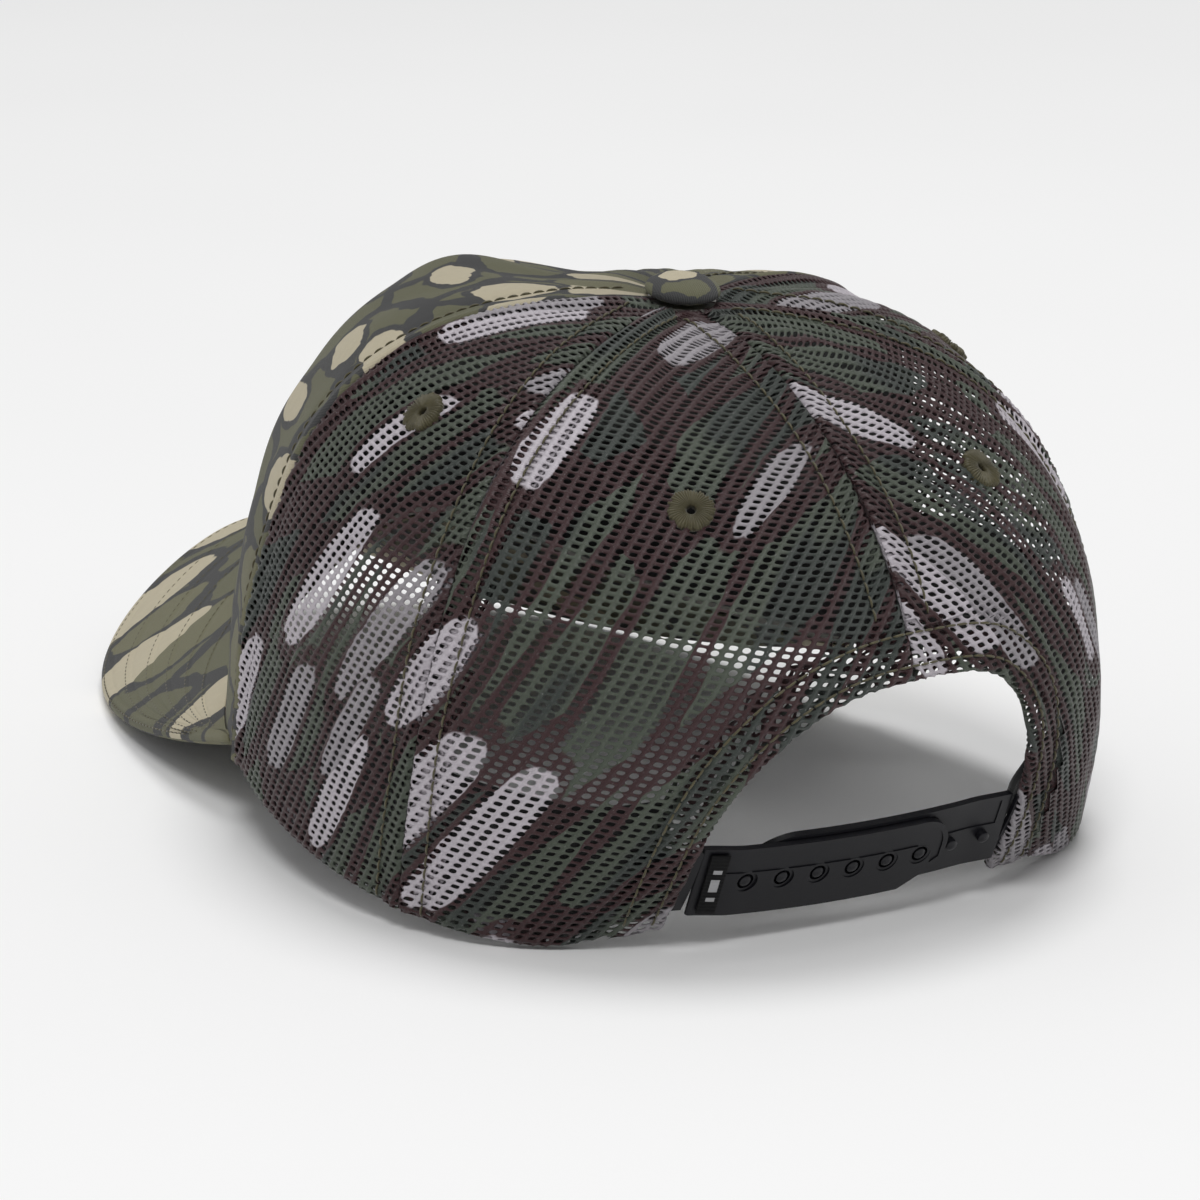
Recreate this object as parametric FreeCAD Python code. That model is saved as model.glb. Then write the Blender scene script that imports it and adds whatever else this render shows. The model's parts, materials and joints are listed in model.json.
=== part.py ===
import FreeCAD
import Part
import math
import os

# Trucker cap: woven front, mesh sides and back, curved brim and a snap closure across the rear arch.
# Everything is drawn in the cap's own frame, in mm and degrees: z = 0 is the plane of the head opening,
# -Y points to the brim and +X to the wearer's left. seat() then leans the cap back onto its brim,
# as it stands on a table. An azimuth is 0 at the middle of the front and grows towards +X.
# A rise is 0 at the rim and 90 at the apex.

# ---- Crown ----
HALF_WIDTH = 86.5
FRONT_DEPTH = 114.5
REAR_DEPTH = 102.5
CROWN_HEIGHT = 106.0
APEX_SHIFT = -9.4            # the apex sits this far in front of the middle of the opening
FRONT_EXPONENT = 2.80        # superellipse exponents of the crown's profile: 2 is round, more is squarer
SIDE_EXPONENT = 2.93
REAR_EXPONENT = 2.35
STRAP_PULL = 0.35            # share by which the strap draws the rear rim in
PULL_HEIGHT = 80.0           # the strap's pull fades out at this height
BOW_HEIGHT = 12.0            # the right side of the rim is bowed up by this much
BOW_START = (66.0, 84.0)     # azimuths on the right between which it rises
BOW_END = (98.0, 122.0)      # and comes down again
SAG = (-10.0, -70.0, 26.0, -11.0)    # x and y of a bump's middle, its reach and its height: the soft top has
PEAK = (23.0, -65.0, 14.0, 6.0)      # sunk behind the front, and a blunt peak stands up beside it
BUMP_HEIGHTS = (40.0, 90.0)  # the bumps fade in between these heights
BUMP_RADII = (8.0, 34.0)     # and out towards the button between these distances from the axis
FRONT_SEAM = 70.0            # azimuths of the panel seams; the back seam is at 180
REAR_SEAM = 110.5
BACK = 180.0
HUB_RADIUS = 4.0             # open middle of the panels, under the button
LEAN = 9.0                   # the cap stands on its brim and its rear rim, leaning back by this angle
CLIMB_POWER = 1.4            # spaces the points of a sheet evenly, from the rim to the flat top
CROWN_ROWS = 26              # rows of points up a sheet

# ---- Cloth ----
PANEL_THICKNESS = 0.8
LINING_THICKNESS = 0.8
TAPE_THICKNESS = 0.4
TAPE_HALF_WIDTH = 5.0
TAPE_END_RADIUS = 15.0       # the tapes stop here, where they would start to cross
LINING_TOP = 102.0           # height at which the lining stops
LINING_MARGIN = 6.0          # from the front seams to the lining's edges
SWEATBAND_THICKNESS = 1.5
SWEATBAND_HEIGHT = 32.0
SWEATBAND_DEPTH = 2.2        # from the crown's outer surface to the band's outer face
SWEATBAND_SETBACK = 2.0      # its ends stop this far behind the arch's edge
SWEATBAND_RAISE = 0.5        # its lower edge stays this far above the rim
LAYER_GAP = 0.1              # clearance between neighbouring cloth pieces
STITCH_WIDTH = 0.6
STITCH_HEIGHT = 0.3
SEAM_TO_STITCH = 6.0
STITCH_END_RADIUS = 25.0     # the stitch rows stop here, short of the button

# ---- Rear arch ----
ARCH_HALF_WIDTH = 37.6
ARCH_TOP = 59.7
ARCH_EXPONENT = 2.7          # superellipse: squarer than an ellipse
ARCH_SIDE_SHIFT = 3.0        # the worn closure pulls the arch askew: x of its middle at the bottom
ARCH_TOP_SHIFT = -4.5        # and at the top
ARCH_CORNER_LIFT = 6.0       # the rim rises by this much towards the arch corners
LIFT_FROM = 133.0            # azimuths between which it rises
LIFT_TO = 154.0
HEM_WIDTH = 10.0
HEM_OUTER = 0.6              # the doubled hem stands this far outside the panel
HEM_INNER = -1.0
HEM_STITCHES = (3.0, 8.5)    # distances of its two stitch rows from the edge
HEM_SPAN = 48.0              # azimuth on each side of the back within which the hem lies
HEM_TOP = 80.0               # and a height that it stays below

# ---- Brim ----
BRIM_SEAM = 65.3             # azimuth of the brim's corners on the rim
BRIM_HALF_WIDTH = 78.0
BRIM_LENGTH = 79.8
BRIM_EXPONENT = 2.31
BRIM_RISE = 17.6             # height of the brim's root at the middle of the front
BRIM_PITCH = 23.2            # it slopes down forwards by this angle
BRIM_CREST_RADIUS = 18.0     # size of the rounded crest of its arch
BOARD_THICKNESS = 2.0
BOARD_INSET = 1.2
COVER_THICKNESS = 0.7
BRIM_STITCH_ROWS = 6
FIRST_BRIM_ROW = 0.96        # share of the way from the crown to the outer edge
BRIM_ROW_SPACING = 0.143
BRIM_ROW_REACH = 0.9         # the rows stop at this share of the way to the brim's corners
BRIM_REACH = 0.985           # the corners taper to a point, so the sheets stop just short of them

# ---- Button and eyelets ----
BUTTON_RADIUS = 7.5
BUTTON_HEIGHT = 4.0
BUTTON_COVER = 0.6
BUTTON_WALL = 0.6
WASHER_RADIUS = 7.0
WASHER_THICKNESS = 0.7
SHANK_RADIUS = 2.0
SHANK_DEPTH = 3.6            # how far the shank reaches below the apex
EYELET_RISE = 51.8
EYELET_RADIUS = 4.5
EYELET_HOLE = 1.0
EYELET_PROUD = 0.6           # the thread ring stands this far out on both sides of the panel

# ---- Snap closure ----
STRAP_WIDTH = 17.0
STRAP_THICKNESS = 1.3
STRAP_GAP = 0.15             # between the two straps where they overlap
STRAP_HEIGHT = 17.0          # height of the straps' middle line above the opening's plane
STRAP_TILT = 16.0            # their top edge leans outwards
STRAP_BOW_RADIUS = 250.0
STRAP_STEP_LENGTH = 8.0      # each strap steps out of the common line over this length
PEGGED_LIFT = 1.0            # the pegged strap sits this much higher
HOLED_ROOT = 37.3            # x at which the holed strap bends, just clear of the hem
PEGGED_ROOT = -32.8
HOLED_FREE_END = -18.3
PEGGED_FREE_END = 30.0
HINGE_CLEARANCE = 0.15
FIRST_HOLE_X = 27.65
SNAP_PITCH = 7.95
HOLE_COUNT = 6
PEG_COUNT = 8
FREE_PEGS = 2                # pegs past the holed strap's free end
HOLE_RADIUS = 1.8
PEG_RADIUS = 1.25
PEG_HEIGHT = 1.8
PEG_DOME = 0.5               # height of its round tip
RING_RADIUS = 2.5            # shallow ring round each hole
RING_DEPTH = 0.2
PEG_ROOT_DEPTH = 0.4         # how far a peg's stem goes into its strap
TAB_LENGTH = 11.0
TAB_THICKNESS = 0.9
HOLED_CORNER = 7.0           # radius of the upper corner at a strap's free end
PEGGED_CORNER = 13.0
BEVEL_LENGTH = 9.5           # the lower corner is cut off
BEVEL_HEIGHT = 5.5
FIELD_INSET = 1.2            # the sunken field along a strap's upper half keeps this border
FIELD_DEPTH = 0.25
PAD_TOP = 2.3                # the snaps stand on a pad that ends this far above their middles
PAD_END = 3.2                # and this far from the strap's free end
PAD_CORNER = 4.0
OUTLINE_REACH = 30.0         # an outline block reaches this far in and out of the straps
FIELD_SETBACK = 2.0          # the field and its pad end this far from the strap's bend
LABEL_WIDTH = 4.0
LABEL_ROOT_SETBACK = 0.8     # from the holed strap's bend to the label's edge
LABEL_THICKNESS = 0.9
LABEL_HEIGHT = 15.0

X_AXIS = FreeCAD.Vector(1, 0, 0)
Y_AXIS = FreeCAD.Vector(0, 1, 0)
Z_AXIS = FreeCAD.Vector(0, 0, 1)
ORIGIN = FreeCAD.Vector(0, 0, 0)
LEFT, RIGHT = 1, -1


def vector(x, y, z):
    return FreeCAD.Vector(x, y, z)


def clamp(value, low=0.0, high=1.0):
    return max(low, min(high, value))


def smooth_step(value):
    value = clamp(value)
    return value * value * (3 - 2 * value)


def ramp(value, start, end):
    """0 before start, 1 after end, smooth between."""
    return smooth_step((value - start) / (end - start))


# ---- The crown's surface ----

def crown_exponent(azimuth):
    forward = math.cos(math.radians(azimuth))
    front_share = max(forward, 0.0) ** 1.5
    rear_share = max(-forward, 0.0) ** 1.5
    return (SIDE_EXPONENT + (FRONT_EXPONENT - SIDE_EXPONENT) * front_share
            + (REAR_EXPONENT - SIDE_EXPONENT) * rear_share)


def crown_point(azimuth, rise):
    """Point on the crown's outer surface."""
    angle = math.radians(azimuth)
    forward = math.cos(angle)
    depth = FRONT_DEPTH if forward > 0 else REAR_DEPTH
    power = 2 / crown_exponent(azimuth)
    spread = max(math.cos(math.radians(rise)), 0.0) ** power
    height = CROWN_HEIGHT * max(math.sin(math.radians(rise)), 0.0) ** power
    pull = STRAP_PULL * clamp(1 - height / PULL_HEIGHT) ** 2 * max(-forward, 0.0) ** 2
    x = HALF_WIDTH * math.sin(angle) * spread
    y = APEX_SHIFT * (1 - spread) - depth * forward * spread * (1 - pull)
    share = ramp(height, *BUMP_HEIGHTS) * ramp(math.hypot(x, y - APEX_SHIFT), *BUMP_RADII)
    return vector(x, y, height + share * (bump(x, y, *SAG) + bump(x, y, *PEAK)))


def bump(x, y, middle_x, middle_y, reach, height):
    return height * math.exp(-((x - middle_x) ** 2 + (y - middle_y) ** 2) / (2 * reach ** 2))


def crown_normal(azimuth, rise):
    """Unit vector pointing out of the crown."""
    step = 0.5
    low, high = max(rise - step, 0.0), min(rise + step, 90.0)
    around = crown_point(azimuth + step, rise) - crown_point(azimuth - step, rise)
    upward = crown_point(azimuth, high) - crown_point(azimuth, low)
    normal = around.cross(upward)
    return normal.normalize()


def layer_point(azimuth, rise, offset):
    """Point at a distance outside (+) or inside (-) the crown's outer surface."""
    return crown_point(azimuth, rise) + crown_normal(azimuth, rise) * offset


def rise_at_height(azimuth, height):
    share = clamp(height / CROWN_HEIGHT)
    return math.degrees(math.asin(share ** (crown_exponent(azimuth) / 2)))


def distance_from_axis(azimuth, rise):
    point = crown_point(azimuth, rise)
    return math.hypot(point.x, point.y - APEX_SHIFT)


def rise_at_radius(azimuth, radius):
    """Rise at which the crown is this far from its vertical axis; the spread shrinks in proportion there."""
    angle = math.radians(azimuth)
    depth = FRONT_DEPTH if math.cos(angle) > 0 else REAR_DEPTH
    reach = math.hypot(HALF_WIDTH * math.sin(angle), depth * math.cos(angle) + APEX_SHIFT)
    return math.degrees(math.acos((radius / reach) ** (crown_exponent(azimuth) / 2)))


def azimuth_at_x(x, height, offset):
    """Azimuth on the rear half at which a layer of the crown reaches x (positive) at a height."""
    azimuth = BACK - math.degrees(math.asin(x / HALF_WIDTH))
    for _ in range(8):
        error = layer_point(azimuth, rise_at_height(azimuth, height), offset).x - x
        azimuth += math.degrees(error / HALF_WIDTH)
    return azimuth


def azimuth_beside(seam, distance, rise):
    """Azimuth of a line that runs at a constant distance from a seam."""
    return seam + math.degrees(distance / distance_from_axis(seam, rise))


def brim_height(x, y):
    """Height of the brim's middle surface: an arch round the Y axis that slopes down forwards."""
    corner = crown_point(BRIM_SEAM, 0)
    slope = math.tan(math.radians(BRIM_PITCH))
    drop_at_corner = BRIM_RISE + (corner.y + FRONT_DEPTH) * slope
    arch_share = crest(x) / crest(corner.x)
    return BRIM_RISE - drop_at_corner * arch_share + (y + FRONT_DEPTH) * slope


def crest(x):
    """Hyperbolic arch: round at the middle, straight towards the sides."""
    return math.sqrt(1 + (x / BRIM_CREST_RADIUS) ** 2) - 1


def brim_stack():
    """From the brim's middle surface to the crown's lower edge."""
    return BOARD_THICKNESS / 2 + COVER_THICKNESS + 3 * LAYER_GAP


def rim_height(azimuth):
    """Height of the crown's lower edge: on the brim in front, near level at the sides, lifted at the arch."""
    turn = abs(azimuth)
    if turn < BRIM_SEAM:
        root = layer_point(turn, 0, -PANEL_THICKNESS)
        return max(brim_height(root.x, root.y) + brim_stack(), 0.0)
    arch_lift = ARCH_CORNER_LIFT * ramp(turn, LIFT_FROM, LIFT_TO)
    corner_rise = 0.0
    if turn < FRONT_SEAM:
        corner_rise = rim_height(BRIM_SEAM - 0.01) * (1 - ramp(turn, BRIM_SEAM, FRONT_SEAM))
    return arch_lift + corner_rise + side_bow(azimuth)


def side_bow(azimuth):
    """How far the right side of the rim is bowed up, as the soft cap lies."""
    if azimuth > 0:
        return 0.0
    return BOW_HEIGHT * ramp(-azimuth, *BOW_START) * (1 - ramp(-azimuth, *BOW_END))


# ---- Building blocks ----

def fitted_surface(point, columns, rows):
    surface = Part.BSplineSurface()
    surface.interpolate([[point(i / columns, j / rows) for j in range(rows + 1)] for i in range(columns + 1)])
    return surface


def curved_block(point, columns, rows):
    """Solid between two smooth faces. point(u, v, side) gives the inner face for side 0, the outer for 1."""
    skins = [fitted_surface(lambda u, v, s=side: point(u, v, s), columns, rows) for side in (0, 1)]
    faces = [skin.toShape() for skin in skins]
    for pick in (0, 1):
        rails = [skin.uIso(skin.bounds()[pick]).toShape() for skin in skins]
        faces.append(Part.makeRuledSurface(rails[0], rails[1]))
        rails = [skin.vIso(skin.bounds()[2 + pick]).toShape() for skin in skins]
        faces.append(Part.makeRuledSurface(rails[0], rails[1]))
    shell = Part.Shell(faces)
    shell.sewShape()
    solid = Part.Solid(shell)
    if solid.Volume < 0:
        solid.reverse()
    return solid


def climb_share(v):
    """Share of the rise at a share v of the way up a sheet."""
    return v ** CLIMB_POWER / (v ** CLIMB_POWER + (1 - v) ** CLIMB_POWER)


def crown_layer(start, end, inner, outer, low=rim_height, high=None, columns=16):
    """Sheet of the crown between two edges. Each edge is (seam azimuth, distance beside the seam)."""
    def point(u, v, side):
        middle = start[0] + (end[0] - start[0]) * u
        bottom = rise_at_height(middle, low(middle))
        top = rise_at_radius(middle, HUB_RADIUS) if high is None else rise_at_height(middle, high(middle))
        rise = bottom + (top - bottom) * climb_share(v)
        first = azimuth_beside(start[0], start[1], rise)
        last = azimuth_beside(end[0], end[1], rise)
        return layer_point(first + (last - first) * u, rise, outer if side else inner)
    return curved_block(point, columns, CROWN_ROWS)


def seam_strip(seam, distance, half_width, inner, outer, low=rim_height, hub=HUB_RADIUS):
    """Narrow strip that runs up the crown beside a seam."""
    def point(u, v, side):
        bottom = rise_at_height(seam, low(seam))
        top = rise_at_radius(seam, hub)
        rise = bottom + (top - bottom) * climb_share(v)
        offset = distance + half_width * (2 * u - 1)
        return layer_point(azimuth_beside(seam, offset, rise), rise, outer if side else inner)
    return curved_block(point, 2, CROWN_ROWS)


def arch_edge(angle, margin):
    """Point (x, z) on the edge of the arch: 0 degrees at its left foot, 180 at its right foot."""
    cosine, sine = math.cos(math.radians(angle)), math.sin(math.radians(angle))
    power = 2 / ARCH_EXPONENT
    share = sine ** power
    middle = ARCH_SIDE_SHIFT + (ARCH_TOP_SHIFT - ARCH_SIDE_SHIFT) * share ** 3
    x = middle + math.copysign(abs(cosine) ** power, cosine) * (ARCH_HALF_WIDTH + margin)
    return x, ARCH_CORNER_LIFT + share * (ARCH_TOP - ARCH_CORNER_LIFT + margin)


def arch_prism(margin):
    """Solid that fills the rear arch, grown by a margin, to cut pieces with."""
    near, far, floor = 25.0, 140.0, -20.0
    points = [arch_edge(180 * k / 24, margin) for k in range(1, 24)]
    left_x, foot_z = arch_edge(0, margin)
    right_x = 2 * ARCH_SIDE_SHIFT - left_x
    points = [(left_x, foot_z)] + points + [(right_x, foot_z)]
    curve = Part.BSplineCurve()
    curve.interpolate([vector(x, near, z) for x, z in points])
    corners = [vector(right_x, near, foot_z), vector(right_x, near, floor),
               vector(left_x, near, floor), vector(left_x, near, foot_z)]
    legs = [Part.makeLine(corners[k], corners[k + 1]) for k in range(3)]
    face = Part.Face(Part.Wire([curve.toShape()] + legs))
    return face.extrude(Y_AXIS * (far - near))


# ---- Crown pieces ----

def front_panel():
    return between_seams(-FRONT_SEAM, FRONT_SEAM, columns=40)


def front_lining():
    outer = -PANEL_THICKNESS - LAYER_GAP
    return crown_layer((-FRONT_SEAM, LINING_MARGIN), (FRONT_SEAM, -LINING_MARGIN), outer - LINING_THICKNESS,
                       outer, high=lambda azimuth: LINING_TOP, columns=40)


def eyelet_axis(azimuth):
    return crown_point(azimuth, EYELET_RISE), crown_normal(azimuth, EYELET_RISE)


def with_eyelet_hole(panel, azimuth):
    centre, normal = eyelet_axis(azimuth)
    half_length = 5.0
    start = centre - normal * half_length
    return panel.cut(Part.makeCylinder(EYELET_RADIUS + LAYER_GAP, 2 * half_length, start, normal))


def between_seams(first, last, columns):
    """Panel between two seam azimuths, a little clear of both."""
    return crown_layer((first, LAYER_GAP / 2), (last, -LAYER_GAP / 2), -PANEL_THICKNESS, 0, columns=columns)


def side_mesh(side):
    seams = sorted((side * FRONT_SEAM, side * REAR_SEAM))
    return with_eyelet_hole(between_seams(*seams, columns=16), sum(seams) / 2)


def rear_mesh(side):
    seams = sorted((side * REAR_SEAM, side * BACK))
    panel = between_seams(*seams, columns=20).cut(arch_prism(HEM_WIDTH + LAYER_GAP))
    return with_eyelet_hole(panel, sum(seams) / 2)


def arch_band(inner, outer, near_edge, far_edge):
    """Strip of the crown that follows the edge of the arch, between two distances from it."""
    band = crown_layer((BACK - HEM_SPAN, 0), (BACK + HEM_SPAN, 0), inner, outer, high=lambda azimuth: HEM_TOP,
                       low=lambda azimuth: rim_height(BACK - abs(azimuth - BACK)), columns=28)
    return band.common(arch_prism(far_edge)).cut(arch_prism(near_edge))


def arch_hem():
    return arch_band(HEM_INNER, HEM_OUTER, 0, HEM_WIDTH)


def arch_stitching():
    base = HEM_OUTER + LAYER_GAP
    rows = [arch_band(base, base + STITCH_HEIGHT, row - STITCH_WIDTH / 2, row + STITCH_WIDTH / 2)
            for row in HEM_STITCHES]
    return Part.makeCompound([solid for row in rows for solid in row.Solids])


def sweatband():
    """Band inside the rim, from one foot of the arch round the front to the other."""
    reach = ARCH_HALF_WIDTH + SWEATBAND_SETBACK
    left_end = azimuth_at_x(reach + ARCH_SIDE_SHIFT, 0, -SWEATBAND_DEPTH)
    right_end = -azimuth_at_x(reach - ARCH_SIDE_SHIFT, 0, -SWEATBAND_DEPTH)

    def point(u, v, side):
        azimuth = right_end + (left_end - right_end) * u
        bottom = rim_height(azimuth) + SWEATBAND_RAISE
        rise = rise_at_height(azimuth, bottom + SWEATBAND_HEIGHT * v)
        depth = SWEATBAND_DEPTH if side else SWEATBAND_DEPTH + SWEATBAND_THICKNESS
        return layer_point(azimuth, rise, -depth)
    return curved_block(point, 60, 5)


def seam_tape(seam, low=rim_height):
    outer = -PANEL_THICKNESS - LAYER_GAP
    return seam_strip(seam, 0, TAPE_HALF_WIDTH, outer - TAPE_THICKNESS, outer, low, hub=TAPE_END_RADIUS)


def above_arch(azimuth):
    return ARCH_TOP + HEM_WIDTH + 1.0


def crown_stitching():
    """One row on each side of the rear and back seams, and one on the woven side of the front seams."""
    rows = [(FRONT_SEAM, -SEAM_TO_STITCH, rim_height), (-FRONT_SEAM, SEAM_TO_STITCH, rim_height)]
    for seam in (REAR_SEAM, -REAR_SEAM):
        rows += [(seam, SEAM_TO_STITCH, rim_height), (seam, -SEAM_TO_STITCH, rim_height)]
    rows += [(BACK, SEAM_TO_STITCH, above_arch), (BACK, -SEAM_TO_STITCH, above_arch)]
    strips = [seam_strip(seam, distance, STITCH_WIDTH / 2, LAYER_GAP, LAYER_GAP + STITCH_HEIGHT, low,
                         STITCH_END_RADIUS) for seam, distance, low in rows]
    return Part.makeCompound(strips)


def eyelet(azimuth):
    """Embroidered ring through the panel, drawn as a turned section with rounded faces."""
    half = PANEL_THICKNESS / 2 + EYELET_PROUD
    corners = [vector(EYELET_HOLE, 0, -half), vector(EYELET_RADIUS - half, 0, -half)]
    top = vector(EYELET_RADIUS - half, 0, half)
    lower_line = Part.makeLine(corners[0], corners[1])
    rim = Part.Arc(corners[1], vector(EYELET_RADIUS, 0, 0), top).toShape()
    upper_line = Part.makeLine(top, vector(EYELET_HOLE, 0, half))
    bore = Part.makeLine(vector(EYELET_HOLE, 0, half), corners[0])
    section = Part.Face(Part.Wire([lower_line, rim, upper_line, bore]))
    ring = section.revolve(ORIGIN, Z_AXIS, 360)
    centre, normal = eyelet_axis(azimuth)
    middle = centre - normal * (PANEL_THICKNESS / 2)
    ring.Placement = FreeCAD.Placement(middle, FreeCAD.Rotation(Z_AXIS, normal))
    return ring


# ---- Button ----

def dome(radius, height, bottom):
    """Shallow spherical cap that stands on the plane z = bottom, on the crown's axis."""
    sphere_radius = (radius ** 2 + height ** 2) / (2 * height)
    centre = vector(0, APEX_SHIFT, bottom + height - sphere_radius)
    ball = Part.makeSphere(sphere_radius, centre)
    block = Part.makeBox(4 * radius, 4 * radius, 2 * height, vector(-2 * radius, APEX_SHIFT - 2 * radius, bottom))
    return ball.common(block)


def apex_cylinder(radius, bottom, top):
    return Part.makeCylinder(radius, top - bottom, vector(0, APEX_SHIFT, bottom), Z_AXIS)


BUTTON_BASE = CROWN_HEIGHT + LAYER_GAP


def button_cover():
    shell_space = dome(BUTTON_RADIUS - BUTTON_COVER, BUTTON_HEIGHT - BUTTON_COVER, BUTTON_BASE)
    return dome(BUTTON_RADIUS, BUTTON_HEIGHT, BUTTON_BASE).cut(shell_space)


def button_shell():
    """Metal dome with the shank that goes down through the apex."""
    radius = BUTTON_RADIUS - BUTTON_COVER - LAYER_GAP
    height = BUTTON_HEIGHT - BUTTON_COVER - LAYER_GAP
    shell = dome(radius, height, BUTTON_BASE).cut(dome(radius - BUTTON_WALL, height - BUTTON_WALL, BUTTON_BASE))
    shank = apex_cylinder(SHANK_RADIUS, CROWN_HEIGHT - SHANK_DEPTH, BUTTON_BASE + height - BUTTON_WALL / 2)
    return shell.fuse(shank).removeSplitter()


def button_washer():
    """Disc inside the crown that the shank is clinched over."""
    top = CROWN_HEIGHT - PANEL_THICKNESS - 4 * LAYER_GAP
    bottom = top - WASHER_THICKNESS
    return apex_cylinder(WASHER_RADIUS, bottom, top).cut(apex_cylinder(SHANK_RADIUS + LAYER_GAP, bottom, top))


# ---- Brim ----

def brim_outline(s, inset):
    """Point in plan on the brim's outer edge; s runs from -1 at one corner to 1 at the other."""
    angle = s * math.pi / 2
    root_y = crown_point(BRIM_SEAM, 0).y
    length = FRONT_DEPTH + BRIM_LENGTH + root_y - inset
    power = 2 / BRIM_EXPONENT
    x = math.copysign(abs(math.sin(angle)) ** power, angle) * (BRIM_HALF_WIDTH - inset)
    return x, root_y - length * max(math.cos(angle), 0.0) ** power


def brim_point(s, t, offset, inset=0.0):
    """Point on the brim: t is 0 at the crown and 1 at the outer edge, offset is the height above its middle."""
    azimuth = BRIM_SEAM * s
    root = layer_point(azimuth, 0, -PANEL_THICKNESS)
    outer_x, outer_y = brim_outline(s, inset)
    x = root.x + (outer_x - root.x) * t
    y = root.y + (outer_y - root.y) * t
    return vector(x, y, brim_height(x, y) + offset)


def brim_sheet(bottom, top, inset=0.0):
    def point(u, v, side):
        return brim_point(BRIM_REACH * (2 * u - 1), v, top if side else bottom, inset)
    return curved_block(point, 32, 8)


def brim_board():
    return brim_sheet(-BOARD_THICKNESS / 2, BOARD_THICKNESS / 2, BOARD_INSET)


def brim_top_cover():
    bottom = BOARD_THICKNESS / 2 + LAYER_GAP
    return brim_sheet(bottom, bottom + COVER_THICKNESS)


def brim_under_cover():
    top = -BOARD_THICKNESS / 2 - LAYER_GAP
    return brim_sheet(top - COVER_THICKNESS, top)


def brim_stitching():
    """Rows of stitches that follow the outer edge and close up towards the corners."""
    base = BOARD_THICKNESS / 2 + COVER_THICKNESS + 2 * LAYER_GAP
    half = STITCH_WIDTH / 2 / BRIM_LENGTH
    rows = []
    for row in range(BRIM_STITCH_ROWS):
        middle = FIRST_BRIM_ROW - row * BRIM_ROW_SPACING

        def point(u, v, side, middle=middle):
            along = BRIM_ROW_REACH * (2 * u - 1)
            return brim_point(along, middle + half * (2 * v - 1), base + STITCH_HEIGHT * side)
        rows.append(curved_block(point, 28, 1))
    return Part.makeCompound(rows)


# ---- Snap closure ----
# The straps are drawn flat-on: x runs along them, y outwards and z across their width.

def bow(x):
    """How far the common line of the straps stands out at x, from the middle of the opening."""
    return -x * x / (2 * STRAP_BOW_RADIUS)


def holed_middle(x):
    """The holed strap steps outwards from its root to lie over the other one."""
    return bow(x) + (STRAP_THICKNESS + STRAP_GAP) / 2 * smooth_step((HOLED_ROOT - x) / STRAP_STEP_LENGTH)


def pegged_middle(x):
    return bow(x) - (STRAP_THICKNESS + STRAP_GAP) / 2 * smooth_step((x - PEGGED_ROOT) / STRAP_STEP_LENGTH)


def tab_depth():
    """Offset of the middle of the sewn ends from the crown's outer surface, just inside the hem."""
    return HEM_INNER - LAYER_GAP - TAB_THICKNESS / 2


def strap_origin():
    """Where the straps' own frame sits: the holed strap's root meets its sewn end."""
    azimuth = azimuth_at_x(HOLED_ROOT, STRAP_HEIGHT, tab_depth())
    wall = layer_point(azimuth, rise_at_height(azimuth, STRAP_HEIGHT), tab_depth())
    return vector(0, wall.y - bow(HOLED_ROOT), STRAP_HEIGHT)


def place_strap(shape):
    placed = shape.copy()
    placed.rotate(ORIGIN, X_AXIS, -STRAP_TILT)
    placed.translate(strap_origin())
    return placed


def strap_band(middle, start, end, width, thickness, middle_z):
    """Band of constant thickness along a smooth middle line y = middle(x)."""
    steps = 16
    xs = [start + (end - start) * k / steps for k in range(steps + 1)]
    rails = []
    for offset in (thickness / 2, -thickness / 2):
        curve = Part.BSplineCurve()
        curve.interpolate([vector(x, middle(x) + offset, 0) for x in xs])
        rails.append(curve)
    ends = [Part.makeLine(rails[0].StartPoint, rails[1].StartPoint),
            Part.makeLine(rails[0].EndPoint, rails[1].EndPoint)]
    wire = Part.Wire(Part.__sortEdges__([rail.toShape() for rail in rails] + ends))
    band = Part.Face(wire).extrude(Z_AXIS * width)
    band.translate(Z_AXIS * (middle_z - width / 2))
    return band


def strap_outline(root, free_end, low_z, top_z, corner):
    """Block with a strap's flat-on outline: a round upper and a bevelled lower corner at its free end."""
    back = math.copysign(1, root - free_end)
    round_start = vector(free_end + corner * back, 0, top_z)
    round_end = vector(free_end, 0, top_z - corner)
    cut_in = corner * (1 - math.sqrt(0.5))
    round_middle = vector(free_end + cut_in * back, 0, top_z - cut_in)
    bevel_share = min(1.0, (top_z - corner - low_z) / BEVEL_HEIGHT)
    bevel_top = vector(free_end, 0, low_z + BEVEL_HEIGHT * bevel_share)
    bevel_low = vector(free_end + BEVEL_LENGTH * bevel_share * back, 0, low_z)
    corners = [bevel_low, vector(root, 0, low_z), vector(root, 0, top_z), round_start]
    edges = [Part.makeLine(corners[k], corners[k + 1]) for k in range(3)]
    edges.append(Part.Arc(round_start, round_middle, round_end).toShape())
    if round_end.distanceToPoint(bevel_top) > 1e-6:
        edges.append(Part.makeLine(round_end, bevel_top))
    edges.append(Part.makeLine(bevel_top, bevel_low))
    face = Part.Face(Part.Wire(edges))
    face.translate(Y_AXIS * -OUTLINE_REACH)
    return face.extrude(Y_AXIS * 2 * OUTLINE_REACH)


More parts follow.
